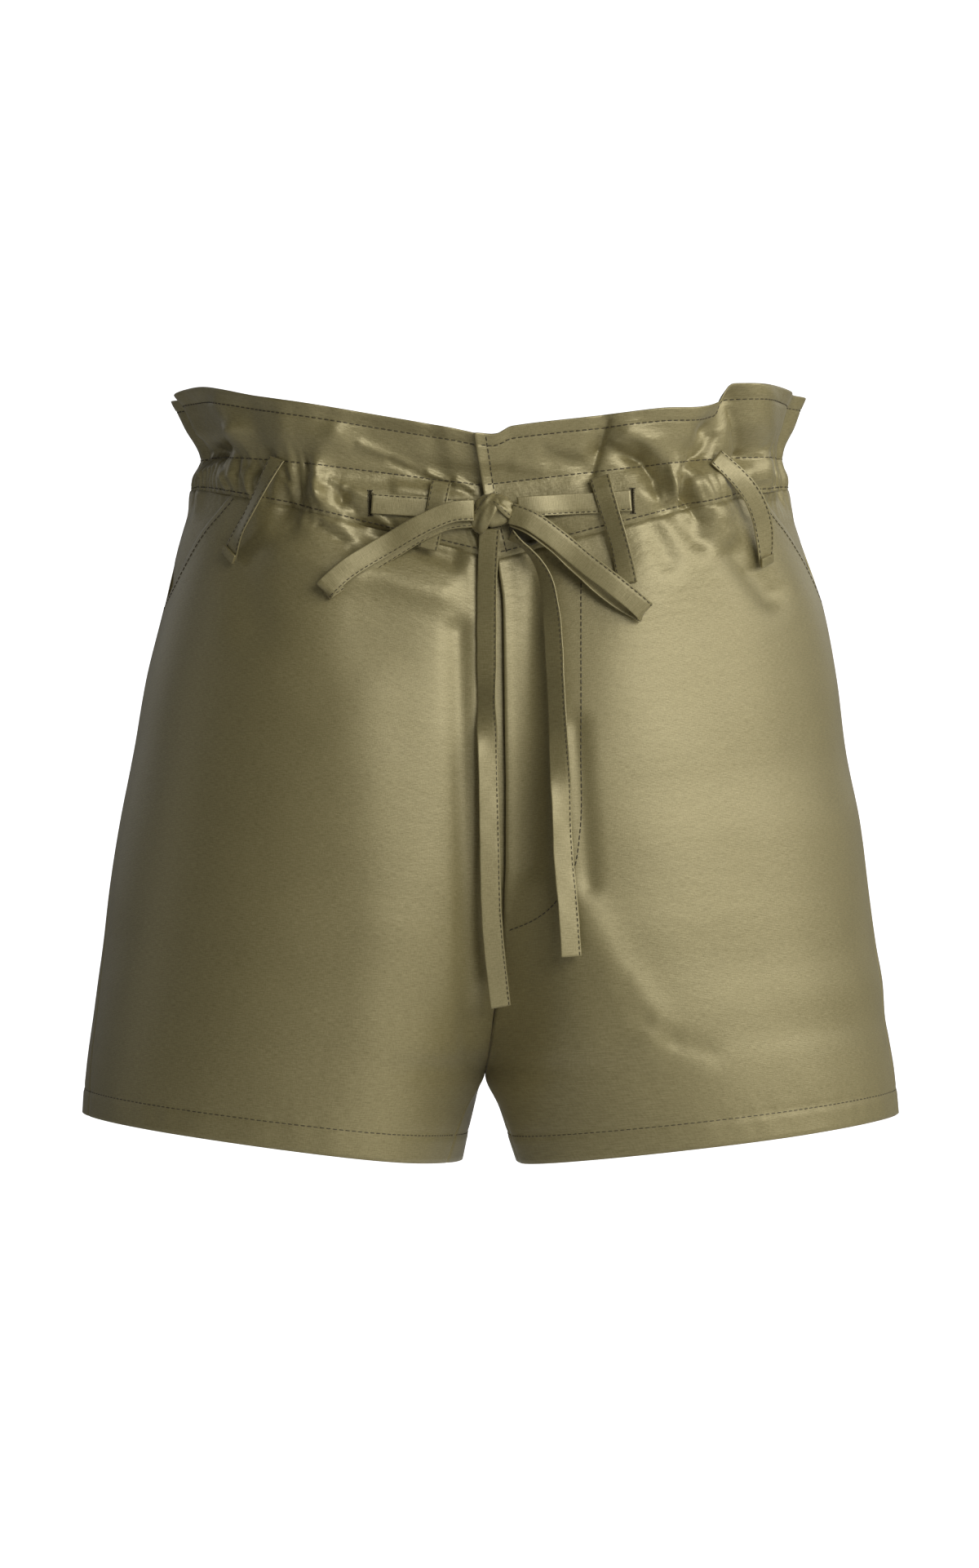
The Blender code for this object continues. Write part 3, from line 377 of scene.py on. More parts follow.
def ring(half, level):
    """Plan of one level on one half, from front centre round the side to back centre, x outward."""
    c = section(level)
    sign = -1 if half == "r" else 1
    k = QUARTER
    apart = 0.5 * SEAM if level > CROTCH_LEVEL - 2 else 0.0
    start = np.array([sign * c["in_" + half] + apart, c["in_y"]])
    front = np.array([c["front_" + half], c["front_y"]])
    side = np.array([c["side_" + half], c["side_y"]])
    back = np.array([c["back_x"], c["back_y"]])
    end = np.array([sign * c["end_" + half] + apart, c["end_y"]])
    a = math.radians(c["turn_" + half])
    b = math.radians(c["bturn_" + half])
    out_a = np.array([math.cos(a), -math.sin(a)])
    in_b = np.array([-math.cos(b), -math.sin(b)])
    ha = k * abs((front[0] - start[0]) * math.cos(a)) + k * abs((front[1] - start[1]) * math.sin(a))
    hb = k * abs((back[0] - end[0]) * math.cos(b)) + k * abs((back[1] - end[1]) * math.sin(b))
    ex, ey = np.array([1.0, 0]), np.array([0, 1.0])
    arcs = [
        bezier(start, start + ha * out_a, front - k * (front[0] - start[0]) * ex, front, ARC),
        bezier(front, front + k * (side[0] - front[0]) * ex, side - k * (side[1] - front[1]) * ey, side, ARC),
        bezier(side, side + k * (back[1] - side[1]) * ey, back + k * (side[0] - back[0]) * ex, back, ARC),
        bezier(back, back - k * (back[0] - end[0]) * ex, end - hb * in_b, end, ARC),
    ]
    pts = np.concatenate([arcs[0]] + [arc[1:] for arc in arcs[1:]])
    n = 2 * ARC
    run = lengths(pts)
    u = np.where(np.arange(len(pts)) <= n, 0.5 * run / run[n], 0.5 + 0.5 * (run - run[n]) / (run[-1] - run[n]))
    crowns = (u[ARC], u[3 * ARC])
    if level < HOLD_LEVEL:
        if half not in HELD:
            HELD[half] = ring(half, HOLD_LEVEL)[3]
        u = np.interp(u, [0, crowns[0], 0.5, crowns[1], 1], [0, HELD[half][0], 0.5, HELD[half][1], 1])
    return u, pts, c, crowns


def ring_at(half, level):
    key = (half, round(float(level), 4))
    if key not in RINGS:
        RINGS[key] = ring(half, float(level))
    return RINGS[key]


def base(half, u, level):
    """Points of the smooth form, for arrays u and level of one shape."""
    u, level = np.broadcast_arrays(np.asarray(u, float), np.asarray(level, float))
    out = np.zeros(u.shape + (3,))
    sign = -1 if half == "r" else 1
    values, inverse = np.unique(level, return_inverse=True)
    inverse = inverse.reshape(level.shape)
    for k, lv in enumerate(values):
        us, pts, c, _ = ring_at(half, lv)
        pick = inverse == k
        uu = u[pick]
        x = np.interp(uu, us, pts[:, 0])
        y = np.interp(uu, us, pts[:, 1])
        for edge, nxt in ((0, 1), (-1, -2)):
            over = uu - us[edge]
            far = over < 0 if edge == 0 else over > 0
            d = (pts[edge] - pts[nxt]) / (us[edge] - us[nxt])
            x = np.where(far, pts[edge, 0] + d[0] * over, x)
            y = np.where(far, pts[edge, 1] + d[1] * over, y)
        side = c["side_" + half]
        f_in, b_in = sign * c["in_" + half], sign * c["end_" + half]
        bent = np.where((uu < 0) & (x < f_in), 2 * f_in - x, x)
        zf = c["side"] + (c["front"] - c["side"]) * (side - bent) / (side - f_in)
        zb = c["side"] + (c["back"] - c["side"]) * (side - x) / (side - b_in)
        out[pick] = np.stack([sign * x, y, np.where(uu <= 0.5, zf, zb)], axis=-1)
    return out


# Large folds of the front, as in the part: half, x and z of both ends, width, and rise out of the cloth, mm.
FOLD_COLUMNS = "half x0 z0 x1 z1 width rise".split()
FOLDS = [
    ("r", -130, 43, -122, 31, 5, 3),
    ("r", -122, 31, -113, 15, 4.5, 3.5),
    ("r", -138, 39, -134, 29, 7, -3),
    ("r", -134, 24, -124, 25, 4.5, -4.5),
    ("r", -124, 25, -124, 12, 4, 2.5),
    ("r", -118, 21, -112, 14, 4, -2.5),
    ("r", -112, 14, -107, 19, 4, -2.5),
    ("r", -75, 28, -83, 12, 6.5, 3),
    ("r", -83, 12, -81, 2, 4.5, 4),
    ("r", -81, 2, -72, -8, 6, 3.5),
    ("r", -87, 10, -96, -5, 6, -4),
    ("r", -78, 5, -71, -1, 4, -3.5),
    ("r", -71, -1, -73, -8, 4, -3),
    ("r", -80, 10, -6, 3, 3.5, -1.2),
    ("r", -57, 28, -22, 13, 11, -2.5),
    ("r", -82, -14, -67, -25, 3.5, -1.8),
    ("l", 53, 37, 49, 21, 4, -2),
    ("l", 49, 21, 46, 8, 4, -1.5),
    ("l", 53, 24, 68, 19, 5, -3),
    ("l", 68, 19, 79, 11, 5, -4),
    ("l", 65, 29, 88, 15, 7, 3),
    ("l", 74, 10, 79, 4, 4, -3.5),
    ("l", 79, 4, 82, -4, 4, -3.5),
    ("l", 84, 10, 86, 2, 4, 2.5),
    ("l", 92, 8, 93, 0, 4.5, -4.5),
    ("l", 93, 0, 99, -10, 4.5, -4),
    ("l", 98, 9, 108, -6, 7, 3.5),
    ("l", 113, 45, 106, 34, 7, -6),
    ("l", 106, 34, 96, 17, 6, -5),
    ("l", 117, 42, 121, 20, 4.5, -5),
    ("l", 128, 45, 130, 23, 9, 5),
    ("l", 118, 17, 126, 5, 4, -3),
    ("l", 128, 18, 134, 6, 4.5, 3),
    ("l", 20, -36, 18, -175, 7, -2.5),
    ("l", 62, -232, 72, -248, 5, -0.7),
    ("l", 72, -248, 85, -257, 5, -0.8),
    ("l", 85, -257, 105, -264, 5, -0.6),
]

GATHER_COLUMNS = "half at lean width edge channel below".split()
GATHERS = [
    ("r", 0.415, 0.010, 7, 3.0, 2.5, 16),
    ("r", 0.455, 0.004, 6, -3.5, -3.0, 22),
    ("r", 0.492, -0.006, 8, 4.5, 2.5, 14),
    ("r", 0.545, 0.008, 7, -3.5, -2.5, 26),
    ("r", 0.590, 0.012, 9, 5.0, 3.0, 18),
    ("r", 0.648, -0.010, 8, -4.0, -2.5, 30),
    ("r", 0.700, 0.006, 9, 4.5, 2.5, 20),
    ("r", 0.762, 0.010, 8, -3.5, -2.5, 24),
    ("r", 0.812, -0.008, 10, 4.0, 2.5, 34),
    ("r", 0.880, 0.004, 9, -4.0, -2.5, 22),
    ("r", 0.940, -0.006, 9, 4.0, 2.0, 28),
    ("l", 0.425, 0.008, 6, -3.0, -2.5, 14),
    ("l", 0.462, -0.004, 7, 3.5, 2.5, 20),
    ("l", 0.515, 0.010, 7, -4.0, -2.5, 24),
    ("l", 0.560, -0.008, 8, 4.0, 2.5, 16),
    ("l", 0.622, 0.006, 9, -3.5, -3.0, 32),
    ("l", 0.675, 0.012, 8, 4.5, 2.5, 22),
    ("l", 0.735, -0.006, 9, -4.5, -2.5, 18),
    ("l", 0.790, 0.008, 9, 4.0, 3.0, 28),
    ("l", 0.852, -0.010, 8, -3.5, -2.0, 24),
    ("l", 0.915, 0.004, 10, 4.0, 2.5, 30),
    ("l", 0.975, 0.006, 8, -3.0, -2.0, 20),
]

# Height of the frill's edge above its section, in the front: x and dz, mm.
EDGE = [(-152, -3), (-146, 1), (-135, 2.5), (-110, 0.5), (-60, 0.5), (-20, 0.5), (-8, 0), (2, -2), (10, 0.5),
        (50, -1), (80, -2), (100, -4), (111, -3), (117, 5), (124, 4.5), (136, 2.5), (145, 0), (152, -3)]
SIDE_SEAM = [(54, 0.495), (-60, 0.492), (-150, 0.475), (-230, 0.457), (-297, 0.440)]
POCKET = {
    "r": [(7, 0.326), (-2, 0.349), (-12, 0.375), (-32, 0.416), (-43, 0.443), (-54, 0.492)],
    "l": [(7, 0.345), (-5, 0.376), (-13, 0.400), (-28, 0.440), (-42, 0.468), (-54, 0.492)],
}
FLY_END = -196          # level where the fly's opening ends
UNDERLAP = 0.024        # how far the right front runs under the left one, as a place round the cloth
OVERLAP_DROP = WALL + 0.5       # how far it lies under there, mm
CASING_MIDDLE, CASING_SWELL = 13.5, 1.6     # level and height, mm, of the casing's rounded tunnel

# Creases of the front, laid over the large folds: the same columns.
CREASES = [
    # deep soft folds that run down from the gathered seam
    ("r", -104, 6, -97, -14, 7.0, -2.0),
    ("r", -66, -8, -50, -22, 4.5, -2.2),
    ("r", -58, -19, -18, -27, 5.5, -2.3),
    ("r", -60, -36, -24, -46, 8.0, 1.5),
    ("r", -98, -26, -70, -38, 8.0, 1.4),
    ("r", -122, -18, -113, -60, 11.0, -1.3),
    ("r", -44, 4, -30, 2, 3.0, 1.2),
    ("l", 87, -7, 99, -20, 5.5, -2.0),
    ("l", 100, -6, 111, -18, 6.5, 1.8),
    ("l", 118, -26, 134, -46, 7.5, -2.3),
    ("l", 76, -12, 84, -30, 6.0, -1.2),
    ("l", 26, 20, 42, 15, 4.0, -0.9),
    ("l", 12, 14, 24, 12, 3.5, 0.8),
    # the dip beside the fly, and the folds that run into the crotch
    ("r", -15.5, -64, -10, -266, 5.5, -1.5),
    ("r", -60, -97, -56, -279, 18.0, 1.0),
    ("l", 40, -109, 46, -184, 5.0, -1.1),
    ("l", 40, -192, 76, -254, 10.0, 1.3),
    # broad waves of the frill, image left
    ("r", -138, 40, -136, 19, 6.0, 0.9),
    ("r", -115, 41, -112, 18, 6.0, -1.2),
    ("r", -99, 38, -98, 16, 5.0, 0.9),
    ("r", -78, 38, -76, 16, 6.0, -0.9),
    ("r", -29, 36, -24, 10, 5.0, -0.8),
    # gathers under the frill's outer corner, image left
    ("r", -140, 30, -131, 22, 1.6, -1.0),
    ("r", -137, 14, -131, 19, 1.5, 0.9),
    ("r", -131, 27, -127, 15, 1.4, -1.0),
    ("r", -128, 17, -126, 6, 1.5, 1.0),
    ("r", -121, 19, -119, 5, 1.3, -0.9),
    ("r", -117, 13, -115, 3, 1.4, 0.9),
    ("r", -112, 14, -106, 10, 1.3, -0.8),
    ("r", -106, 18, -100, 12, 1.8, 0.8),
    ("r", -100, 13, -95, 6, 1.5, -0.8),
    # the pinch beside the tie's slit
    ("r", -88, 16, -84, 9, 1.6, -1.1),
    ("r", -84, 9, -80, -2, 1.3, 1.1),
    ("r", -79, 6, -76, -3, 1.3, -1.1),
    ("r", -76, 8, -70, 3, 1.3, 0.9),
    ("r", -70, 4, -58, -1, 1.4, 0.9),
    ("r", -71, -2, -64, -7, 1.2, -0.9),
    ("r", -66, -8, -57, -12, 1.5, 0.8),
    ("r", -56, -8, -48, -15, 1.4, 0.9),
    ("r", -52, -6, -46, -14, 1.6, -0.7),
    ("r", -82, -13, -70, -21, 1.1, -0.9),
    ("r", -79, -12, -66, -19, 1.2, 0.6),
    ("r", -92, 2, -86, -12, 2.4, -0.8),
    # frill and channel up to the fly
    ("r", -62, 24, -40, 15, 2.2, 0.7),
    ("r", -48, 17, -30, 8, 1.8, -0.7),
    ("r", -30, 11, -16, 5, 1.5, 1.0),
    ("r", -17, 8, -8, 3, 1.2, 1.1),
    ("r", -20, 5, -8, -1, 1.3, -0.9),
    ("r", -10, -17, -5, -28, 1.0, 0.8),
    ("r", -32, -26, -18, -32, 4.0, -1.0),
    # image right: pleat, hooked folds and lobes
    ("l", 55, 36, 51, 22, 1.3, -1.0),
    ("l", 51, 22, 48, 10, 1.3, -0.8),
    ("l", 58, 26, 68, 22, 1.6, 0.7),
    ("l", 60, 21, 73, 15, 1.8, -0.8),
    ("l", 72, 14, 79, 7, 1.4, -1.0),
    ("l", 78, 8, 82, -2, 1.2, 1.0),
    ("l", 82, 9, 84, 1, 1.2, -1.0),
    ("l", 86, 8, 88, 0, 1.3, 1.0),
    ("l", 91, 7, 92, -1, 1.3, -1.1),
    ("l", 92, -1, 99, -10, 1.4, -0.9),
    ("l", 95, 6, 99, -3, 1.6, 0.9),
    ("l", 102, 8, 108, -2, 1.5, -0.8),
    ("l", 107, 11, 113, 1, 1.4, 0.9),
    ("l", 109, 30, 100, 19, 1.6, -1.0),
    ("l", 98, 19, 90, 13, 1.5, -0.8),
    ("l", 118, 38, 121, 21, 1.2, -1.0),
    ("l", 121, 22, 119, 12, 1.3, -0.8),
    ("l", 126, 22, 128, 10, 1.6, 1.0),
    ("l", 131, 20, 134, 8, 1.3, -0.9),
    ("l", 116, 6, 122, -8, 1.8, -0.7),
]


def soft(x):
    x = np.clip(x, 0, 1)
    return x * x * (3 - 2 * x)


def curve(rows, x):
    rows = np.array(sorted(rows), float)
    return monotone(rows[:, 0], rows[:, 1], np.asarray(x, float))


def segment(px, pz, x0, z0, x1, z1):
    dx, dz = x1 - x0, z1 - z0
    s = np.clip(((px - x0) * dx + (pz - z0) * dz) / (dx * dx + dz * dz), 0, 1)
    return np.hypot(px - x0 - s * dx, pz - z0 - s * dz)


def fold_rise(rows, half, p):
    out = np.zeros(p.shape[:-1])
    for row in rows:
        f = dict(zip(FOLD_COLUMNS, row))
        if f["half"] == half:
            d = segment(p[..., 0], p[..., 2], f["x0"], f["z0"], f["x1"], f["z1"])
            out += f["rise"] * np.exp(-((d / f["width"]) ** 2))
    return out


def in_front(u):
    """1 on the front, fading to 0 round the side."""
    return 1 - soft((u - 0.44) / 0.07)


def rise(half, u, level, p):
    """How far folds and gathers lift the cloth out of its smooth form, mm, as in the part."""
    out = in_front(u) * fold_rise(FOLDS, half, p)
    for row in GATHERS:
        g = dict(zip(GATHER_COLUMNS, row))
        if g["half"] != half:
            continue
        up = soft((level - 12) / 42)
        down = 1 - soft((CASING_FOOT - level) / g["below"])
        d = (u - g["at"] - g["lean"] * up) * SPAN / (g["width"] * (1 + 0.5 * up))
        out += np.exp(-d * d) * (g["channel"] + (g["edge"] - g["channel"]) * up) * down
    swell = CASING_SWELL * (1 - soft((0.10 - u) / 0.06) * 0.7)
    out += swell * np.exp(-(((level - CASING_MIDDLE) / 4.5) ** 2))
    if half == "r":
        over_ = soft((level - FLY_END + 22) / 22)
        out -= OVERLAP_DROP * over_ * (1 - soft((u - 0.006) / 0.030))
    return out


FINE_PITCH = 6.3        # from one fine gather of the channel to the next, mm
FINE_DEPTH = 0.80
CREASE_DEPTH = 1.5      # of the creases, against their table
SLACK = 0.30            # of the cloth's low waves, against their sum
HEM_STITCH = HEM + 11.5             # level of the row that holds the leg hem's turned-up band
HEM_DOUBLE, FRILL_DOUBLE = 0.25, 0.20       # how far a turned-up edge stands out, mm
PUCKER = 0.16                       # of the hems
FRILL_STITCH = FRILL_TOP - 7.0      # the same at the frill's edge
CHANNEL_LEVELS = (22, 8.6)
# rows of stitches: level, how far they draw the cloth in, and over what width, mm
ROW_DIPS = [(row_level, 0.35, 1.1) for row_level in CHANNEL_LEVELS] + [
    (FRILL_STITCH, 0.22, 0.9), (HEM_STITCH, 0.30, 0.9)]
FRILL_LEAN = {"r": 1.8, "l": 0.6}   # of the frill's bound edge, out of the cloth
LAP_STAND = 1.5                     # how far the lapping front's free edge stands off


def fine(half, u, level, p):
    """Small relief that only the looks have: creases, fine gathers, stitched rows and slack, mm."""
    front = in_front(u)
    out = CREASE_DEPTH * front * fold_rise(CREASES, half, p)
    s = u * SPAN
    shift = 0.0 if half == "l" else 2.1
    # gathers are uneven: the phase wanders, and they fade where the front lies flat
    phase = s / FINE_PITCH + shift + 0.9 * np.sin(s / 17.0 + shift) + 0.35 * np.sin(s / 7.3 + 1.0)
    tight = np.exp(-(((level - 14) / 12.0) ** 2)) * (0.70 + 0.30 * np.sin(s / 23.0 + 2 * shift))
    lean = 0.35 * np.sin(s / 13.0) * (level - 14) / 14
    out += soft((u - 0.17) / 0.06) * tight * FINE_DEPTH * np.sin(2 * math.pi * (phase + lean))
    # each row of stitching draws the cloth in
    for row_level, depth, width in ROW_DIPS:
        out -= depth * np.exp(-(((level - row_level) / width) ** 2))
    # the frill's bound edge leans out a little, and the lapping front's free edge stands off
    out += FRILL_LEAN[half] * front * soft((level - FRILL_STITCH) / (FRILL_TOP - FRILL_STITCH))
    if half == "l":
        out += soft((level - FLY_END) / 30) * LAP_STAND * np.exp(-((s / 3.0) ** 2))
    # turned-up edges are double
    out += HEM_DOUBLE * soft((HEM_STITCH - 0.6 - level) / 0.8)
    out += FRILL_DOUBLE * soft((level - FRILL_STITCH - 0.6) / 0.8)
    # slack of the cloth: long low waves, uneven
    slack = (
        0.45 * np.sin(s / 21.0 + level / 38.0 + shift)
        + 0.35 * np.sin(s / 13.0 - level / 27.0 + 2.0 + shift)
        + 0.22 * np.sin(s / 8.5 + level / 14.0 + 4.0) * np.sin(level / 31.0 + s / 60.0)
    )
    ends = np.minimum(soft(s / 14.0), soft((SPAN - s) / 14.0))
    out += soft((4 - level) / 30) * ends * slack * SLACK
    # a slight pucker along the hems
    hem = np.exp(-(((level - HEM - 9) / 7.0) ** 2))
    out += hem * PUCKER * np.sin(s / 2.9 + 1.5 * np.sin(s / 11.0))
    return out


def edge_lift(u, level, p):
    """Height that the frill's waved edge adds in the front, mm."""
    return soft((level - 24) / 30) * (1 - soft((u - 0.5) / 0.05)) * curve(EDGE, p[..., 0])


def skin(half, u, level, lift=0.0):
    """Points of the cloth's outer face."""
    u, level = np.broadcast_arrays(np.asarray(u, float), np.asarray(level, float))
    p = base(half, u, level)
    a = base(half, u + 0.004, level) - base(half, u - 0.004, level)
    n = unit(np.stack([-a[..., 1], a[..., 0], 0 * a[..., 0]], -1) * (1 if half == "r" else -1))
    out = rise(half, u, level, p) + lift + fine(half, u, level, p)
    q = p + n * out[..., None]
    q[..., 2] += edge_lift(u, level, p)
    return q


# ---------------------------------------------------------------- mesh helpers

def new_object(name, verts, faces, finish, uv=None):
    """A mesh object from points in mm. uv, one pair a point, is the cloth's map in mm."""
    mesh = bpy.data.meshes.new(name)
    mesh.from_pydata((np.asarray(verts) * MM).tolist(), [], faces)
    if uv is not None:
        layer = mesh.uv_layers.new(name="cloth")
        index = np.empty(len(mesh.loops), np.int32)
        mesh.loops.foreach_get("vertex_index", index)
        layer.data.foreach_set("uv", np.asarray(uv, np.float32)[index].ravel())
    mesh.shade_smooth()
    obj = bpy.data.objects.new(name, mesh)
    bpy.context.scene.collection.objects.link(obj)
    mesh.materials.append(finish)
    return obj


def shell(name, points, outward, finish, uv, thick=CLOTH):
    """A thin closed shell behind a grid of outer points, with a rounded rim. outward is any rough way out."""
    rows, cols = points.shape[:2]
    n = unit(np.cross(np.gradient(points, axis=1), np.gradient(points, axis=0)))
    flip = np.mean(np.sum(n * outward, axis=-1)) < 0
    inner = points - (-n if flip else n) * thick
    count = rows * cols
    i, j = np.meshgrid(np.arange(rows - 1), np.arange(cols - 1), indexing="ij")
    at = (i * cols + j).ravel()
    quads = np.stack([at, at + 1, at + cols + 1, at + cols], 1)
    outer_faces = quads[:, ::-1] if flip else quads
    inner_faces = (quads if flip else quads[:, ::-1]) + count
    border = [(0, k) for k in range(cols)] + [(k, cols - 1) for k in range(1, rows)]
    border += [(rows - 1, k) for k in range(cols - 2, -1, -1)] + [(k, 0) for k in range(rows - 2, 0, -1)]
    ids = np.array([r * cols + c for r, c in border])
    # the rim's middle line stands out a little past the edge
    centre = []
    for r, c in border:
        near = points[min(max(r, 1), rows - 2), min(max(c, 1), cols - 2)]
        away = points[r, c] - near
        away /= max(np.linalg.norm(away), 1e-9)
        centre.append(0.5 * (points[r, c] + inner[r, c]) + away * thick * 0.35)
    verts = np.concatenate([points.reshape(-1, 3), inner.reshape(-1, 3), np.array(centre)])
    nxt = np.roll(ids, -1)
    mid = 2 * count + np.arange(len(ids))
    mid_next = np.roll(mid, -1)
    rim = np.concatenate([np.stack([nxt, ids, mid, mid_next], 1),
                          np.stack([mid_next, mid, ids + count, nxt + count], 1)])
    if flip:
        rim = rim[:, ::-1]
    uv = uv.reshape(-1, 2)
    return new_object(name, verts, np.concatenate([outer_faces, inner_faces, rim]).tolist(), finish,
                      np.concatenate([uv, uv, uv[ids]]))


def flat_size(points):
    """Area of a grid of points, mm2, and its two mean lengths, mm."""
    a = points[1:, :-1] - points[:-1, :-1]
    b = points[:-1, 1:] - points[:-1, :-1]
    area = np.linalg.norm(np.cross(a, b), axis=-1).sum()
    wide = np.linalg.norm(np.diff(points, axis=1), axis=-1).sum(1).mean()
    long = np.linalg.norm(np.diff(points, axis=0), axis=-1).sum(0).mean()
    return area, wide, long


def attach(obj):
    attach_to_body(obj, "root")


def dress(obj, node):
    """Show the piece in place of one of the part's solids."""
    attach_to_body(obj, "root")
    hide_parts(node)


def map_flat(obj, points):
    """Lay the cloth's map on a modelled piece straight from the front, mm."""
    layer = obj.data.uv_layers.active
    layer.name = "cloth"
    index = np.array([loop.vertex_index for loop in obj.data.loops])
    layer.data.foreach_set("uv", points[index][:, [0, 2]].astype(np.float32).ravel())
    obj.data.shade_smooth()


# ---------------------------------------------------------------- cloth pieces

SIDES = {"r": "right", "l": "left"}
SPLIT = 0.5 * SEAM
GAP = 0.5 * SEAM / SPAN     # the same as a place round the cloth
STEP = 2.0                  # grid of the panels, mm
HIP_STEP = 1.6
WAIST_STEP = 0.92
HIP_DROP = WALL + 1.2       # how far the hip piece lies under the front's edge, mm
FRONT_COLUMNS, BACK_COLUMNS, HIP_COLUMNS = 112, 118, 42
WAIST_FRONT_COLUMNS, WAIST_BACK_COLUMNS = 200, 190          # of each half
CENTRE_ROLL = 0.45          # how far the cloth sinks beside a centre seam, mm
LEGS_FRONT, LEGS_BACK = -222, -185      # levels where the halves start to face each other


def seam_at(level):
    return curve(SIDE_SEAM, level)


def lay(obj, node, points):
    """Show the shell in place of its solid, and work out the grid's area and mean sides."""
    dress(obj, node)
    area, wide, long = flat_size(points)


def cloth_piece(node, half, u, level, finish, lift=0.0, roll=None):
    """One cut piece of cloth. roll lowers it beside its seams, mm."""
    points = skin(half, u, level, lift)
    if roll is not None:
        points = points + (skin(half, u, level, lift - 1.0) - points) * roll[..., None]
    outward = points - np.array([-60 if half == "r" else 60, 0, 0])
    outward[..., 2] = 0
    obj = shell(node + "_cloth", points, outward, finish, np.stack([u * SPAN, level], -1))
    lay(obj, node, points)


def levels_between(top, bottom, step):
    return np.linspace(top, bottom, int(round((top - bottom) / step)) + 1)


def edge_roll(distance, depth=0.4, width=1.3):
    """How far a seam's edge sinks, by distance from it, mm."""
    return depth * np.exp(-((np.maximum(distance, 0) / width) ** 2))


def front_panel(half, finish):
    levels = levels_between(CASING_FOOT - SPLIT, HEM, STEP)
    pocket = curve(POCKET[half], np.maximum(levels, POCKET_FOOT)) - 0.001
    seam = seam_at(levels) - GAP
    right = np.where(levels > POCKET_FOOT - 1, np.minimum(pocket, seam), seam)
    lap = soft((levels - FLY_END + 12) / 12)
    left = GAP + 0.012 * (1 - lap) if half == "r" else np.full(len(levels), GAP)
    u = left[:, None] + (right - left)[:, None] * np.linspace(0, 1, FRONT_COLUMNS) ** 1.06
    if half == "r":
        # five more columns run under the left front
        under = [GAP - UNDERLAP * lap * k + 0.002 * (1 - lap) * (1 - k) for k in (1, 0.8, 0.6, 0.4, 0.2)]
        u = np.concatenate([np.stack(under, 1), u], 1)
    level = np.broadcast_to(levels[:, None], u.shape)
    roll = edge_roll((CASING_FOOT - level) * 0.9)
    roll = roll + edge_roll((right[:, None] - u) * SPAN) * (level < POCKET_FOOT - 2)
    # between the legs the two halves face each other, so nothing sinks there
    roll = roll + edge_roll(u * SPAN, CENTRE_ROLL) * (level < FLY_END) * (1 - soft((LEGS_FRONT - level) / 25))
    cloth_piece(f"front_{SIDES[half]}", half, u, level, finish, roll=roll)


def back_panel(half, finish):
    levels = levels_between(CASING_FOOT - SPLIT, HEM, STEP)
    left = seam_at(levels) + GAP
    u = left[:, None] + (1 - GAP - left)[:, None] * np.linspace(0, 1, BACK_COLUMNS)
    level = np.broadcast_to(levels[:, None], u.shape)
    roll = edge_roll((CASING_FOOT - level) * 0.9) + edge_roll((u - left[:, None]) * SPAN)
    roll += edge_roll((1 - u) * SPAN, CENTRE_ROLL) * (1 - soft((LEGS_BACK - level) / 35))
    cloth_piece(f"back_{SIDES[half]}", half, u, level, finish, roll=roll)


def hip_piece(half, finish):
    """The cloth behind a slant pocket, sunk beside the front's edge and at its foot."""
    levels = levels_between(CASING_FOOT - SPLIT, POCKET_FOOT - 10, HIP_STEP)
    edge = curve(POCKET[half], np.maximum(levels, POCKET_FOOT))
    left = edge - 0.030
    right = seam_at(levels) - GAP
    u = left[:, None] + (right - left)[:, None] * np.linspace(0, 1, HIP_COLUMNS)
    level = np.broadcast_to(levels[:, None], u.shape)
    sunk = np.maximum(1 - soft((u - edge[:, None]) / 0.09), soft((-26 - level) / 20))
    cloth_piece(f"hip_piece_{SIDES[half]}", half, u, level, finish, lift=-HIP_DROP * sunk)


WAIST_LEVELS = levels_between(FRILL_TOP, CASING_FOOT + SPLIT, WAIST_STEP)
WAIST_SEAM = float(seam_at(30))


def waist_front(half, finish):
    first = -UNDERLAP if half == "r" else GAP
    u, level = np.meshgrid(np.linspace(first, WAIST_SEAM - GAP, WAIST_FRONT_COLUMNS), WAIST_LEVELS)
    roll = edge_roll((level - CASING_FOOT) * 1.2)
    cloth_piece(f"waist_front_{SIDES[half]}", half, u, level, finish, roll=roll)


def waist_back(finish):
    """The back's casing and frill in one piece: the grids of both halves, joined at the centre back."""
    u, level = np.meshgrid(np.linspace(WAIST_SEAM + GAP, 1, WAIST_BACK_COLUMNS), WAIST_LEVELS)
    right, left = skin("r", u, level), skin("l", u, level)
    mid = 0.5 * (right[:, -1:] + left[:, -1:])
    points = np.concatenate([right[:, :-1], mid, left[:, -2::-1]], 1)
    # the cloth's own waves of the two halves meet smoothly at the centre back
    m, reach = points.shape[1] // 2, 12
    for _ in range(8):
        part = points[:, m - reach:m + reach + 1]
        part[:, 1:-1] = 0.25 * part[:, :-2] + 0.5 * part[:, 1:-1] + 0.25 * part[:, 2:]
    s = np.concatenate([u, 2 - u[:, -2::-1]], 1) * SPAN
    uv = np.stack([s, np.broadcast_to(WAIST_LEVELS[:, None], s.shape)], -1)
    obj = shell("waist_back_cloth", points, points * np.array([1, 1, 0]), finish, uv)
    lay(obj, "waist_back", points)


# ---------------------------------------------------------------- strips: belt loops, tie, bow and tails

PLACE_LEVELS = np.arange(FRILL_TOP, HEM - 1, -6.0)


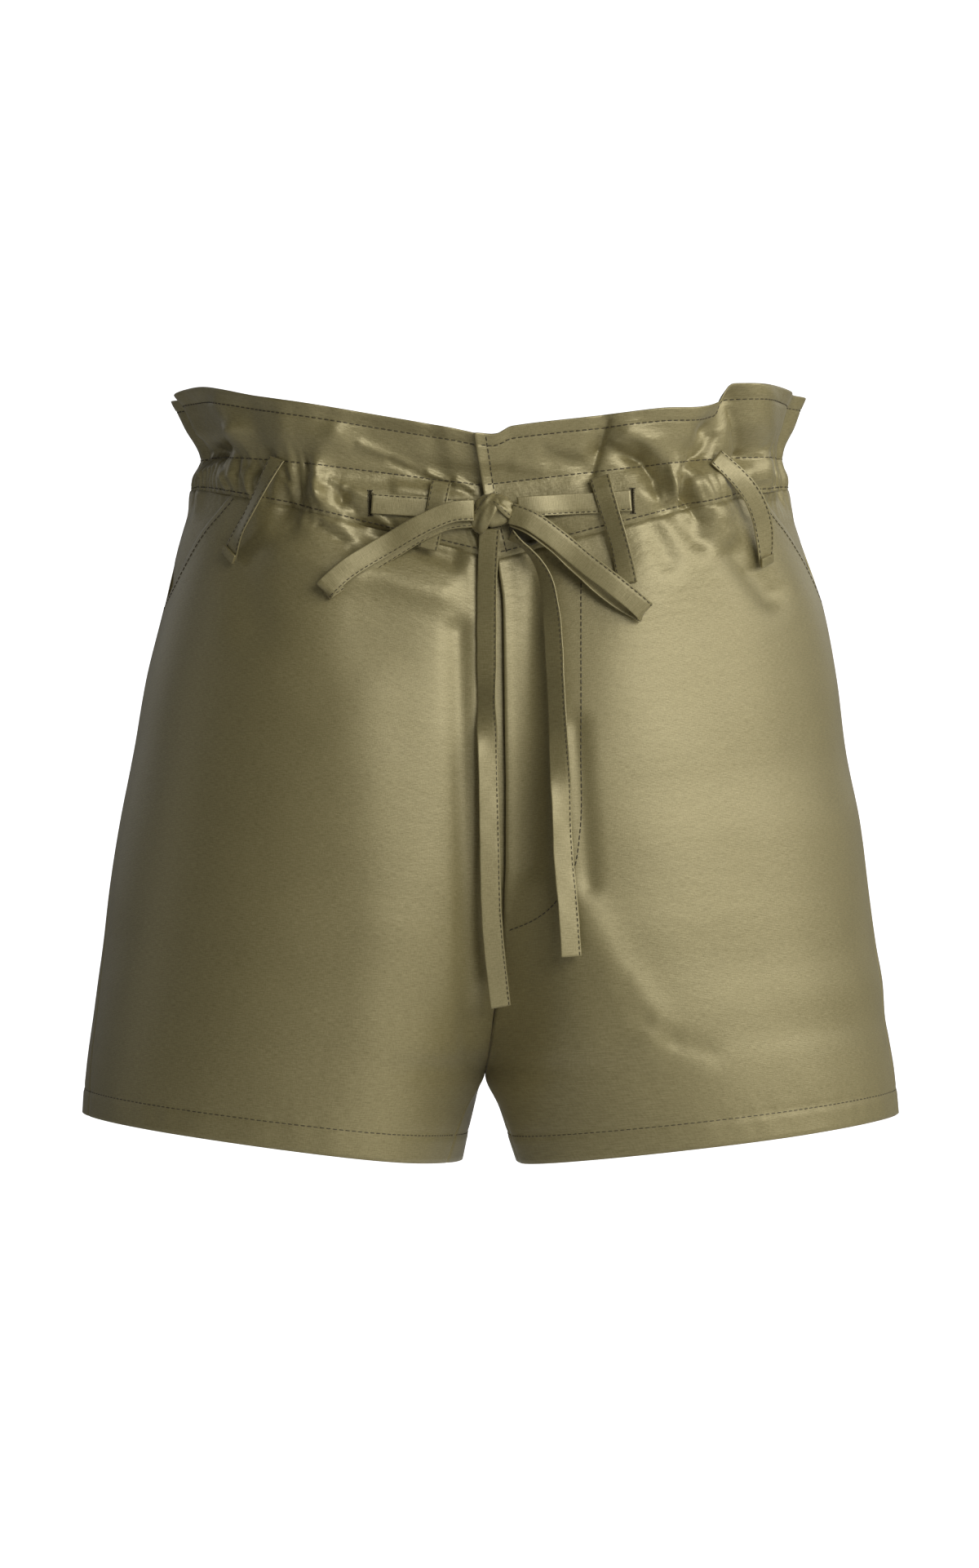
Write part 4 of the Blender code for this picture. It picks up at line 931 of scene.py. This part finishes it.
def place(x, z):
    """Half, place round it and level of the smooth form's front at x, z."""
    half = "l" if x > 4 else "r"
    sign = -1 if half == "r" else 1
    front = slice(2 * ARC + 1)
    zs, us = [], []
    for lv in PLACE_LEVELS:
        u, pts, c, _ = ring_at(half, lv)
        side = c["side_" + half]
        us.append(np.interp(sign * x, pts[front, 0], u[front]))
        zs.append(c["side"] + (c["front"] - c["side"]) * (side - sign * x) / (side - sign * c["in_" + half]))
    zs, us = np.array(zs)[::-1], np.array(us)[::-1]
    return half, float(np.interp(z, zs, us)), float(np.interp(z, zs, PLACE_LEVELS[::-1]))


# places near a point, as shares of the reach, where over() looks for the cloth's height
AROUND = np.array([(0, 0), (1, 0), (-1, 0), (0, 1), (0, -1), (0.7, 0.7), (-0.7, 0.7), (0.7, -0.7), (-0.7, -0.7)])


def over(x, z, square, reach=5.0):
    """A point on the cloth's highest part near x, z, and the way out of it: straight to the front if square."""
    half, u, level = place(x, z)
    p = base(half, u, level)
    uu = u + AROUND[:, 0] * reach / SPAN
    ll = level + AROUND[:, 1] * reach
    here = rise(half, uu, ll, base(half, uu, ll)).max()
    if square:
        near = [base(*place(x + d, z))[1] for d in (-reach, reach)]
        p = np.array([x, min(p[1], *near), z])
        n = np.array([0.0, -1.0, 0.0])
    else:
        a = base(half, u + 0.01, level) - base(half, u - 0.01, level)
        n = unit(np.array([-a[1], a[0], 0]) * (1 if half == "r" else -1))
    return p + n * here, n


# Strips on the part's routes: x, z, clearance of the middle line from the cloth, twist in degrees. The bow's under
# straps are turned on edge here, as the photograph shows them.
STRIPS = {
    "belt_loop_right_outer": [
        (-100.9, 18, 1.2, 0), (-102.8, 10.3, 3.5, 14), (-105.9, 0.7, 6, 26), (-110.2, -8.2, 7, 30),
        (-115.2, -15.9, 6, 22), (-120.2, -22, 3.5, 8), (-123.6, -27.8, 1.2, 0)],
    "belt_loop_right_inner": [
        (-23.4, 5.5, 1.2, 0), (-24.4, 2.0, 3.4, 6), (-25.4, -3, 3.8, 10), (-26.6, -11, 3.8, 12),
        (-28.6, -18, 2.4, 8), (-30.1, -25.1, 1.2, 0)],
    "belt_loop_left_inner": [
        (51.2, 8, 1.2, 0), (52.4, 4.5, 3.4, 6), (54, -2, 4.4, 14), (56.6, -10, 5.6, 24), (60, -21, 6.5, 28),
        (62.7, -32, 4.0, 14), (64.3, -41.7, 1.2, 0)],
    "belt_loop_left_outer": [
        (105.9, 19.2, 1.2, 0), (112, 10.3, 5, 20), (117.8, 0.7, 8, 40), (122.8, -10.9, 8, 44),
        (127, -21.3, 5, 24), (130.1, -30.5, 1.2, 0)],
    "tie_right": [
        (-56.6, -3.6, 1.1, 0), (-39.3, -4.9, 1.1, 0), (-23.9, -5.9, 1.2, 0), (-15, -6.4, 1.6, 0),
        (-10.6, -6.6, 2.4, 0)],
    "tie_left": [
        (66.2, -2.4, 1.1, 0), (51.2, -3.6, 1.1, 0), (33.9, -4.3, 2.2, 0), (20.5, -5.3, 5.4, 0),
        (12.4, -5.9, 5.6, 0)],
    "bow_right": [
        (-8.1, -7.4, 9.6, 0), (-18, -7.8, 9.6, 0), (-27, -11.3, 9.0, 0), (-37.8, -16.8, 8.4, 0),
        (-48.5, -23.2, 8.0, 0), (-59.3, -29.5, 7.6, 0), (-70.1, -36.7, 7.2, 0), (-76.0, -42.2, 6.9, 0),
        (-79.0, -45.2, 6.2, 0), (-80.4, -46.6, 4.4, 0), (-79.2, -45.6, 2.6, 0), (-76.2, -43.2, 2.0, 6),
        (-70.1, -39.6, 2.2, 16), (-59.3, -33.4, 3.2, 24), (-48.5, -26.8, 4.2, 28), (-37.8, -20.1, 5.2, 28),
        (-27, -14.1, 5.8, 22), (-18, -10.9, 6.0, 12), (-8.95, -10.4, 6.0, 0)],
    "bow_left": [
        (9.1, -8.8, 9.4, 0), (18, -11.6, 11.4, 0), (23.8, -15.6, 11.4, 0), (33.9, -23.2, 11.2, 0),
        (43.5, -31.4, 10.8, 0), (53.1, -38.8, 10.2, 0), (62.7, -46.4, 9.4, 0), (69.0, -51.6, 8.8, 0),
        (72.6, -54.8, 7.6, 0), (74.0, -56.2, 5.4, 0), (72.6, -55.6, 3.2, 0), (69.2, -53.8, 2.6, 8),
        (60.8, -49.8, 2.8, 24), (51.2, -43.2, 3.8, 42), (39.6, -33.4, 5.4, 50), (28.1, -22.6, 7.2, 46),
        (18.9, -14.4, 8.4, 24), (10.4, -10.2, 7.6, 0)],
    "tail_right": [
        (-0.6, -15.8, 6.4, 12), (-1.2, -24, 5.6, 16), (-1.8, -36, 4.6, 18), (-2, -56.3, 4.0, 18),
        (-2, -82.1, 4.0, 20), (-2, -103, 5.0, 28), (-1.9, -110, 5.4, 10), (-1.7, -118, 5.4, -10),
        (-0.8, -156.4, 7.0, -12), (0.7, -206.5, 10.0, -10), (4.6, -242.3, 13.0, -10)],
    "tail_left": [
        (9.0, -18.8, 7.4, 60), (13, -21.4, 8.0, 78), (17.6, -25.2, 8.2, 80), (22.2, -30.4, 8.2, 70),
        (26, -38.6, 7.8, 54), (28.5, -56.3, 6.4, 36), (30.4, -89.8, 6.0, 32), (31.5, -110, 6.0, 30),
        (32.4, -130, 6.0, 8), (33, -142, 6.0, -14), (33.9, -170.7, 6.6, -16), (36.2, -193.8, 7.4, -14),
        (37.7, -217.6, 8.4, -14)],
}
TIE_WIDTH, LOOP_WIDTH = 10.0, 9.6
STRIP_CLOTH = 0.80      # a folded strip's thickness, mm
CAMBER = 0.08           # how far its middle stands up, mm
STITCH_PLACE = 0.80     # of its row of stitches, as a share of half its width


def spline(rows, step):
    """Smooth path through rows of numbers that start with a place, by arc length."""
    rows = np.array(rows, float)
    run = lengths(rows[:, :3])
    at = np.linspace(0, run[-1], max(2, int(round(run[-1] / step))) + 1)
    h = np.diff(run)[:, None]
    d = np.diff(rows, axis=0) / h
    m = np.zeros_like(rows)
    m[1:-1] = (d[:-1] * h[1:] + d[1:] * h[:-1]) / (h[:-1] + h[1:])
    m[0], m[-1] = d[0], d[-1]
    i = np.clip(np.searchsorted(run, at, side="right") - 1, 0, len(run) - 2)
    return hermite((at - run[i])[:, None] / h[i], h[i], rows[i], m[i], rows[i + 1], m[i + 1])


def strip_path(name, step):
    """Middle line, width directions and normals of a strip, as in the part."""
    rows = spline(STRIPS[name], step)
    placed = [over(x, z, "belt" not in name, 4.0) for x, z, _, _ in rows]
    lifted, outs = (np.array(column) for column in zip(*placed))
    for _ in range(3):
        lifted[1:-1] = 0.25 * lifted[:-2] + 0.5 * lifted[1:-1] + 0.25 * lifted[2:]
    lifted = lifted + outs * rows[:, 2:3]
    t = unit(np.gradient(lifted, axis=0))
    w = np.cross(outs, t)
    for i in range(len(w)):
        # where the strip runs straight out of the cloth, its width keeps the way it had
        if i and np.linalg.norm(w[i]) < 0.35:
            w[i] = w[i - 1] - t[i] * np.dot(w[i - 1], t[i])
        w[i] /= np.linalg.norm(w[i])
        if i and np.dot(w[i], w[i - 1]) < 0:
            w[i] = -w[i]
    n = np.cross(t, w)
    a = np.radians(rows[:, 3])[:, None]
    return lifted, w * np.cos(a) + n * np.sin(a), n * np.cos(a) - w * np.sin(a)


def finer(values, factor):
    """Catmull-Rom points between the given ones."""
    v = np.concatenate([2 * values[:1] - values[1:2], values, 2 * values[-1:] - values[-2:-1]])
    out = []
    for i in range(len(values) - 1):
        p0, p1, p2, p3 = v[i:i + 4]
        for k in range(factor):
            t = k / factor
            out.append(0.5 * (2 * p1 + (p2 - p0) * t + (2 * p0 - 5 * p1 + 4 * p2 - p3) * t * t
                              + (3 * p1 - p0 - 3 * p2 + p3) * t**3))
    out.append(values[-1])
    return np.array(out)


ACROSS = 18         # points across a strip's face
FACE = np.sin(np.linspace(-0.5 * math.pi, 0.5 * math.pi, ACROSS))     # their places, from edge to edge
STRIP_PATHS = {}


def strip_frame(name):
    """Fine middle line, width directions and normals of a strip, worked out once."""
    if name not in STRIP_PATHS:
        step = 3 if "bow" in name else 6
        p, w, n = (finer(part, step) for part in strip_path(name, float(step)))
        w = unit(w)
        STRIP_PATHS[name] = p, w, unit(n - w * np.sum(n * w, axis=1, keepdims=True))
    return STRIP_PATHS[name]


def flat_section(middle, across, out, s, bend, thick, square):
    """Points round a flat strip's section: across at s, lifted by bend, mm, its face and then its back."""
    flat = 0.5 * thick * np.sqrt(np.clip(1 - np.abs(FACE) ** square, 0, 1))
    front = middle + np.outer(s, across) + np.outer(bend + flat, out)
    back = middle + np.outer(s, across) + np.outer(bend - flat, out)
    return np.concatenate([front, back[-2:0:-1]])


def ribbon_points(name, width):
    """Outer points of a folded strip as a closed tube: rows along it, columns round its flat section."""
    run = lengths(strip_frame(name)[0])
    camber = CAMBER * (1 - FACE * FACE)
    stitched = 0.20 * np.exp(-(((FACE - STITCH_PLACE) * width / 2 / 0.45) ** 2))
    rows = []
    for at, p, w, n in zip(run, *strip_frame(name)):
        wave = 0.28 * math.sin(at / 7.0 + len(name)) + 0.18 * math.sin(at / 3.1 + 2.0)
        edge = 1 - 0.02 * math.sin(at / 5.0) ** 2
        rows.append(flat_section(p, w, n, FACE * width / 2 * edge, camber + wave * FACE * 0.5 - stitched,
                                 STRIP_CLOTH, 36))
    return np.array(rows), run


def tube(name, rows, run, finish, width):
    """A closed tube of one piece from its rows of section points."""
    count, around = rows.shape[:2]
    i, j = np.meshgrid(np.arange(count - 1), np.arange(around), indexing="ij")
    at = (i * around + j).ravel()
    nxt = (i * around + (j + 1) % around).ravel()
    quads = np.stack([at, nxt, nxt + around, at + around], 1)
    caps = [list(range(around - 1, -1, -1)), list(range((count - 1) * around, count * around))]
    verts = rows.reshape(-1, 3)
    corners = verts[quads]
    sides = corners[:, 1] - corners[:, 0], corners[:, 3] - corners[:, 0]
    if np.sum(np.cross(*sides) * (corners.mean(1) - rows.mean(1)[i.ravel()])) < 0:
        quads = quads[:, ::-1]
        caps = [cap[::-1] for cap in caps]
    across = np.concatenate([np.linspace(0, width, ACROSS), np.linspace(width, 0, ACROSS)[1:-1]])
    uv = np.stack(np.broadcast_arrays(across[None, :], run[:, None]), -1).reshape(-1, 2)
    return new_object(name, verts, quads.tolist() + caps, finish, uv)


def ribbon(name, finish):
    loop = "belt" in name
    width = LOOP_WIDTH if loop else TIE_WIDTH
    rows, run = ribbon_points(name, width)
    obj = tube(f"{name}_cloth", rows, run, finish, width)
    dress(obj, name)
    length = run[-1]
    if "tail" in name:
        path = [tuple(q * MM) for q in strip_frame(name)[0]]
        width * MM
    else:
        2 * width * MM
        1.05 * width * length * MM * MM


# ---------------------------------------------------------------- sewing

STITCH = 2.3            # length of a stitch, mm
STITCH_GAP = 0.75
THREAD = 0.60           # thickness of the thread, mm
# a stitch's rings: places along it and shares of its width
SPINDLE = ((-0.5, 0.35), (-0.3, 0.95), (0.3, 0.95), (0.5, 0.35))
SIDES_ROUND = 6
POCKET_STITCH = 5.2     # from the pocket's edge to its row of stitches, mm
PLACKET_STITCH = 5.0    # the same at the frill's front opening


def resample(points, step):
    """Evenly spaced points along a line, and how far apart they are."""
    run = lengths(points)
    n = max(1, int(run[-1] / step))
    return along_line((np.arange(n) + 0.5) * run[-1] / n, run, points), run[-1] / n


def along_line(at, run, points):
    return np.stack([np.interp(at, run, points[:, k]) for k in range(3)], 1)


def stitches(name, rows, finish, length=STITCH, gap=STITCH_GAP, thick=THREAD, slant=0.0):
    """Rows of stitches as one piece: each is a small spindle that lies on the cloth. rows are (points, outs)."""
    verts, faces = [], []
    n = SIDES_ROUND
    for points, outs in rows:
        at, step = resample(points, length + gap)
        direction = np.gradient(at, axis=0) if len(at) > 1 else points[-1:] - points[:1]
        ways = along_line(np.linspace(0, 1, len(at)), np.linspace(0, 1, len(outs)), outs)
        for centre, along, out in zip(at, unit(direction), unit(ways)):
            across = unit(np.cross(along, out))
            along = along * math.cos(slant) + across * math.sin(slant)
            across = np.cross(along, out)
            first = len(verts)
            for share, size in SPINDLE:
                middle = centre + along * share * min(length, step * 0.8) + out * thick * 0.22
                for a in np.arange(n) * 2 * math.pi / n:
                    round_ = across * math.cos(a) + out * math.sin(a) * 0.8
                    verts.append(middle + round_ * thick * 0.5 * size)
            for b in range(first, first + 3 * n, n):
                faces += [(b + k, b + (k + 1) % n, b + n + (k + 1) % n, b + n + k) for k in range(n)]
            faces += [tuple(range(first + n - 1, first - 1, -1)), tuple(range(first + 3 * n, first + 4 * n))]
    obj = new_object(name, verts, faces, finish)
    work = bmesh.new()
    work.from_mesh(obj.data)
    bmesh.ops.recalc_face_normals(work, faces=work.faces)
    work.to_mesh(obj.data)
    work.free()
    attach(obj)


def on_cloth(half, u, level):
    """Points and ways out along a line on the cloth, for rows of stitches."""
    u, level = np.broadcast_arrays(np.asarray(u, float), np.asarray(level, float))
    a = skin(half, u + 0.003, level) - skin(half, u - 0.003, level)
    b = skin(half, u, level + 1.0) - skin(half, u, level - 1.0)
    return skin(half, u, level), unit(np.cross(a, b) * (-1 if half == "r" else 1))


def front_line(points):
    """The same along a line on the front, given by x and z, mm."""
    halves, u, level = zip(*(place(x, z) for x, z in points))
    return on_cloth(halves[0], u, level)


FLY_STITCH = [
    (42.4, -32), (42.4, -70), (42.3, -120), (41.6, -160), (38.5, -178), (31, -192), (20, -201), (8.5, -206)]


def sew(finish):
    rows = {name: [] for name in ("hem_stitches", "channel_stitches", "frill_stitches", "seam_stitches")}
    for half in "rl":
        waist = np.linspace(0.004 - (UNDERLAP if half == "r" else 0), 0.999, 460)
        rows["hem_stitches"].append(on_cloth(half, np.linspace(0.004, 0.998, 460), HEM_STITCH))
        rows["channel_stitches"] += [on_cloth(half, waist, row_level) for row_level in CHANNEL_LEVELS]
        rows["frill_stitches"].append(on_cloth(half, waist, FRILL_STITCH))
        lv = np.linspace(CASING_FOOT - 1, POCKET_FOOT + 1, 60)
        edge = curve(POCKET[half], lv) - 0.001
        keep = edge < seam_at(lv) - 0.012
        rows["seam_stitches"].append(on_cloth(half, edge[keep] - POCKET_STITCH / SPAN, lv[keep]))
    placket = np.full(30, GAP + PLACKET_STITCH / SPAN)
    rows["placket_stitches"] = [on_cloth("l", placket, np.linspace(FRILL_TOP - 1, CASING_FOOT + 1, 30))]
    rows["fly_stitches"] = [front_line(spline(FLY_STITCH, 2.0))]
    for name, lines in rows.items():
        stitches(name, lines, finish)


def sew_strips(finish):
    """Rows on both faces of each strip: one along the tie, and two along a belt loop."""
    lines = []
    for name in STRIPS:
        p, w, n = strip_frame(name)
        loop = "belt" in name
        offset = STITCH_PLACE * (LOOP_WIDTH if loop else TIE_WIDTH) / 2
        for side in (1, -1) if loop else (1,):
            for face in (1, -1):
                lines.append((p + w * side * offset + n * face * (0.5 * STRIP_CLOTH + 0.02), n * face))
    stitches("strip_stitches", lines, finish, length=1.7, gap=0.9, thick=0.42)


# ---------------------------------------------------------------- knot and button

KNOT = dict(x=0.9, z=-7.2, out=7.4, half=(9.6, 4.6, 8.4))
CORE = (0.94, 0.92, 0.94)       # the core's share of the solid knot, under its wraps
CORE_POWER = 2.6                # above 2 it swells towards its corners
BUTTON = dict(x=17.1, z=-15.1, off=0.4, radius=8.7, thick=2.8)
# rings cut into its face, from the rim in: width and height, mm
BUTTON_FACE = ((1.5, 0), (0.7, -0.7), (3.2, 0.1))

# Turns of the tie over the knot: x, z and distance from the cloth of the middle line, with the half width, mm.
WRAPS = {
    "knot_wrap": [(5.6, -1.0, 4.0, 3.2), (3.6, -0.6, 8.4, 3.9), (0.6, -3.0, 12.0, 4.4), (-2.6, -7.4, 12.6, 4.8),
                  (-5.4, -12.2, 11.2, 4.8), (-7.0, -15.6, 8.0, 4.2), (-7.2, -16.6, 4.6, 3.4)],
    "knot_fold": [(-1.0, -2.2, 5.4, 2.8), (1.6, -1.8, 9.8, 3.4), (4.8, -3.4, 12.4, 3.9), (8.4, -6.4, 12.0, 4.0),
                  (11.2, -9.2, 9.6, 3.6)],
}
WRAP_CLOTH = 1.5        # the wrap is the folded tie, doubled where it turns
WRAP_STEP = 0.7


def wrap(name, finish):
    """One turn of the tie over the knot, a flat tube with a soft crease along it. Gives its edge's line."""
    at, _ = over(KNOT["x"], KNOT["z"], True, 6.0)
    rows = spline(WRAPS[name], WRAP_STEP)
    p = np.stack([rows[:, 0], at[1] - rows[:, 2], rows[:, 1]], 1)
    t = unit(np.gradient(p, axis=0))
    out = p - (at + np.array([0, 3.0 - KNOT["out"], 0]))
    out = unit(out - t * np.sum(out * t, axis=1, keepdims=True))
    w = np.cross(t, out)
    points = []
    for k in range(len(p)):
        # the edges curl down on the knot, and one shallow pleat runs off the middle
        bend = -0.9 * FACE * FACE - 0.45 * np.exp(-(((FACE - 0.25) / 0.16) ** 2))
        bend += 0.25 * np.sin(5 * FACE + 0.3 * k)
        points.append(flat_section(p[k], w[k], out[k], FACE * rows[k, 3], bend, WRAP_CLOTH, 8))
    obj = tube(name, np.array(points), np.arange(len(p)) * WRAP_STEP, finish, 2 * rows[:, 3].mean())
    attach(obj)
    return p + w * (0.72 * rows[:, 3:4]) + out * 0.4, out


# size of a slack loop's turned-under foot, mm, and how far its middle lies from the loop's end
FOOT = np.array([LOOP_WIDTH + 0.4, 4.6, 1.3])
FOOT_BACK, FOOT_OUT = 1.2, 1.1


def round_edges(obj, width):
    bevel = obj.modifiers.new("edge", "BEVEL")
    bevel.width = width * MM
    bevel.segments = 3
    bevel.limit_method = "ANGLE"
    bevel.angle_limit = math.radians(25)
    bpy.ops.object.modifier_apply(modifier="edge")


def loop_foot(name, finish):
    """The turned-under lower end of a slack belt loop, folded back over itself and sewn flat."""
    p, w, n = strip_frame(name)
    down = unit(p[-1] - p[-4])
    middle = p[-1] - down * FOOT_BACK - n[-1] * np.sign(n[-1][1]) * FOOT_OUT
    bpy.ops.mesh.primitive_cube_add(size=1.0, location=(0, 0, 0))
    obj = bpy.context.object
    obj.name = obj.data.name = name + "_foot"
    turn = np.stack([w[-1], down, np.cross(w[-1], down)], 1)
    for v in obj.data.vertices:
        v.co = tuple(turn @ (np.array(v.co) * FOOT * MM) + middle * MM)
    round_edges(obj, 0.3)
    map_flat(obj, np.array([v.co for v in obj.data.vertices]) / MM)
    obj.data.materials.append(finish)
    attach(obj)
    obj.select_set(False)


SLITS = {"slit_right": (-57.2, -3.2), "slit_left": (66.8, -2.2)}
SLIT_HALF = 5.6         # half the height of the slit that the tie comes out of, mm
SLIT_WIDE = 0.35        # half its width
SLIT_EDGE = 0.8         # from its middle to the overcasting
SLIT_ENDS = (-1.5, -0.7, 0.1, 0.9, 1.5)


def knot(finish):
    """The knot's rounded core, swollen towards its corners and pulled into folds."""
    at, _ = over(KNOT["x"], KNOT["z"], True, 6.0)
    bpy.ops.mesh.primitive_uv_sphere_add(segments=48, ring_count=28, radius=1.0)
    obj = bpy.context.object
    obj.name = obj.data.name = "knot_core"
    q = np.array([v.co for v in obj.data.vertices])
    q /= (np.abs(q) ** CORE_POWER).sum(1, keepdims=True) ** (1 / CORE_POWER)
    crease = 0.03 * np.sin(q[:, 0] * 7 + q[:, 2] * 5) + 0.02 * np.sin(q[:, 0] * 13 - q[:, 2] * 9)
    size = np.array(KNOT["half"]) * CORE
    points = at - np.array([0, KNOT["out"], 0]) + q * size * (0.98 + crease[:, None])
    for v, co in zip(obj.data.vertices, points * MM):
        v.co = co
    map_flat(obj, points)
    obj.data.materials.append(finish)
    dress(obj, "tie_knot")
    obj.select_set(False)


def slit(name, finish, thread):
    """A worked slit with overcast edges; its opening is a near-black sheet of painted shade."""
    x, z = SLITS[name]
    zs = np.linspace(z - SLIT_HALF, z + SLIT_HALF, 24)
    left, right, edge_left, edge_right, middle = (
        front_line([(x + d, height) for height in zs]) for d in (-SLIT_WIDE, SLIT_WIDE, -SLIT_EDGE, SLIT_EDGE, 0))
    lines = [(points + outs * 0.10, outs) for points, outs in (edge_left, edge_right)]
    for end in (-1, 1):
        points, outs = front_line([(x + d, z + end * SLIT_HALF) for d in SLIT_ENDS])
        lines.append((points + outs * 0.12, outs))
    stitches(name + "_overcast", lines, thread, length=1.5, gap=-0.75, thick=0.55, slant=0.5 * math.pi)
    # the near-black sheet in the opening is painted shade of the slit's unlit inside
    outs = middle[1][:, None, :]
    points = np.stack([left[0], middle[0], right[0]], 1) + outs * 0.34
    obj = shell(name, points, np.broadcast_to(outs, points.shape), finish, points[..., [0, 2]], thick=0.3)
    attach(obj)


def button(finish):
    at, _ = over(BUTTON["x"], BUTTON["z"], True, 8.0)
    at = at - np.array([0, BUTTON["off"] + 0.5 * BUTTON["thick"], 0])
    bpy.ops.mesh.primitive_cylinder_add(vertices=72, radius=BUTTON["radius"] * MM, depth=BUTTON["thick"] * MM,
                                        location=tuple(at * MM), rotation=(math.radians(90), 0, 0))
    obj = bpy.context.object
    obj.name = obj.data.name = "button_disc"
    bpy.ops.object.transform_apply(location=True, rotation=True, scale=True)
    bpy.ops.object.mode_set(mode="EDIT")
    work = bmesh.from_edit_mesh(obj.data)
    bpy.ops.mesh.select_mode(type="FACE")
    for face in work.faces:
        face.select = face.normal.y < -0.9
    bmesh.update_edit_mesh(obj.data)
    for width, height in BUTTON_FACE:
        bpy.ops.mesh.inset(thickness=width * MM, depth=height * MM)
    bpy.ops.object.mode_set(mode="OBJECT")
    round_edges(obj, 0.5)
    bpy.ops.object.shade_smooth_by_angle(angle=math.radians(35))
    obj.data.materials.append(finish)
    dress(obj, "button")
    obj.select_set(False)


# ---------------------------------------------------------------- the whole

set_camera()
add_lights()
add_world()
add_stage()
TAFFETA = satin("taffeta_satin", crumpled=True)
TIE = satin("tie_satin", crumpled=False)
LOOP = satin("loop_satin", crumpled=False)
THREAD_FINISH = thread_finish()
for half_name in "rl":
    front_panel(half_name, TAFFETA)
    back_panel(half_name, TAFFETA)
    hip_piece(half_name, TAFFETA)
    waist_front(half_name, TAFFETA)
waist_back(TAFFETA)
for strip_name in STRIPS:
    ribbon(strip_name, LOOP if "belt" in strip_name else TIE)
knot(TIE)
edges = [wrap(wrap_name, TIE) for wrap_name in WRAPS]
stitches("knot_stitches", edges, THREAD_FINISH, length=1.5, gap=0.8, thick=0.34)
for loop_name in ("belt_loop_right_outer", "belt_loop_left_outer"):
    loop_foot(loop_name, LOOP)
for slit_name in SLITS:
    slit(slit_name, dark_finish(), THREAD_FINISH)
button(button_finish())
sew(THREAD_FINISH)
sew_strips(THREAD_FINISH)
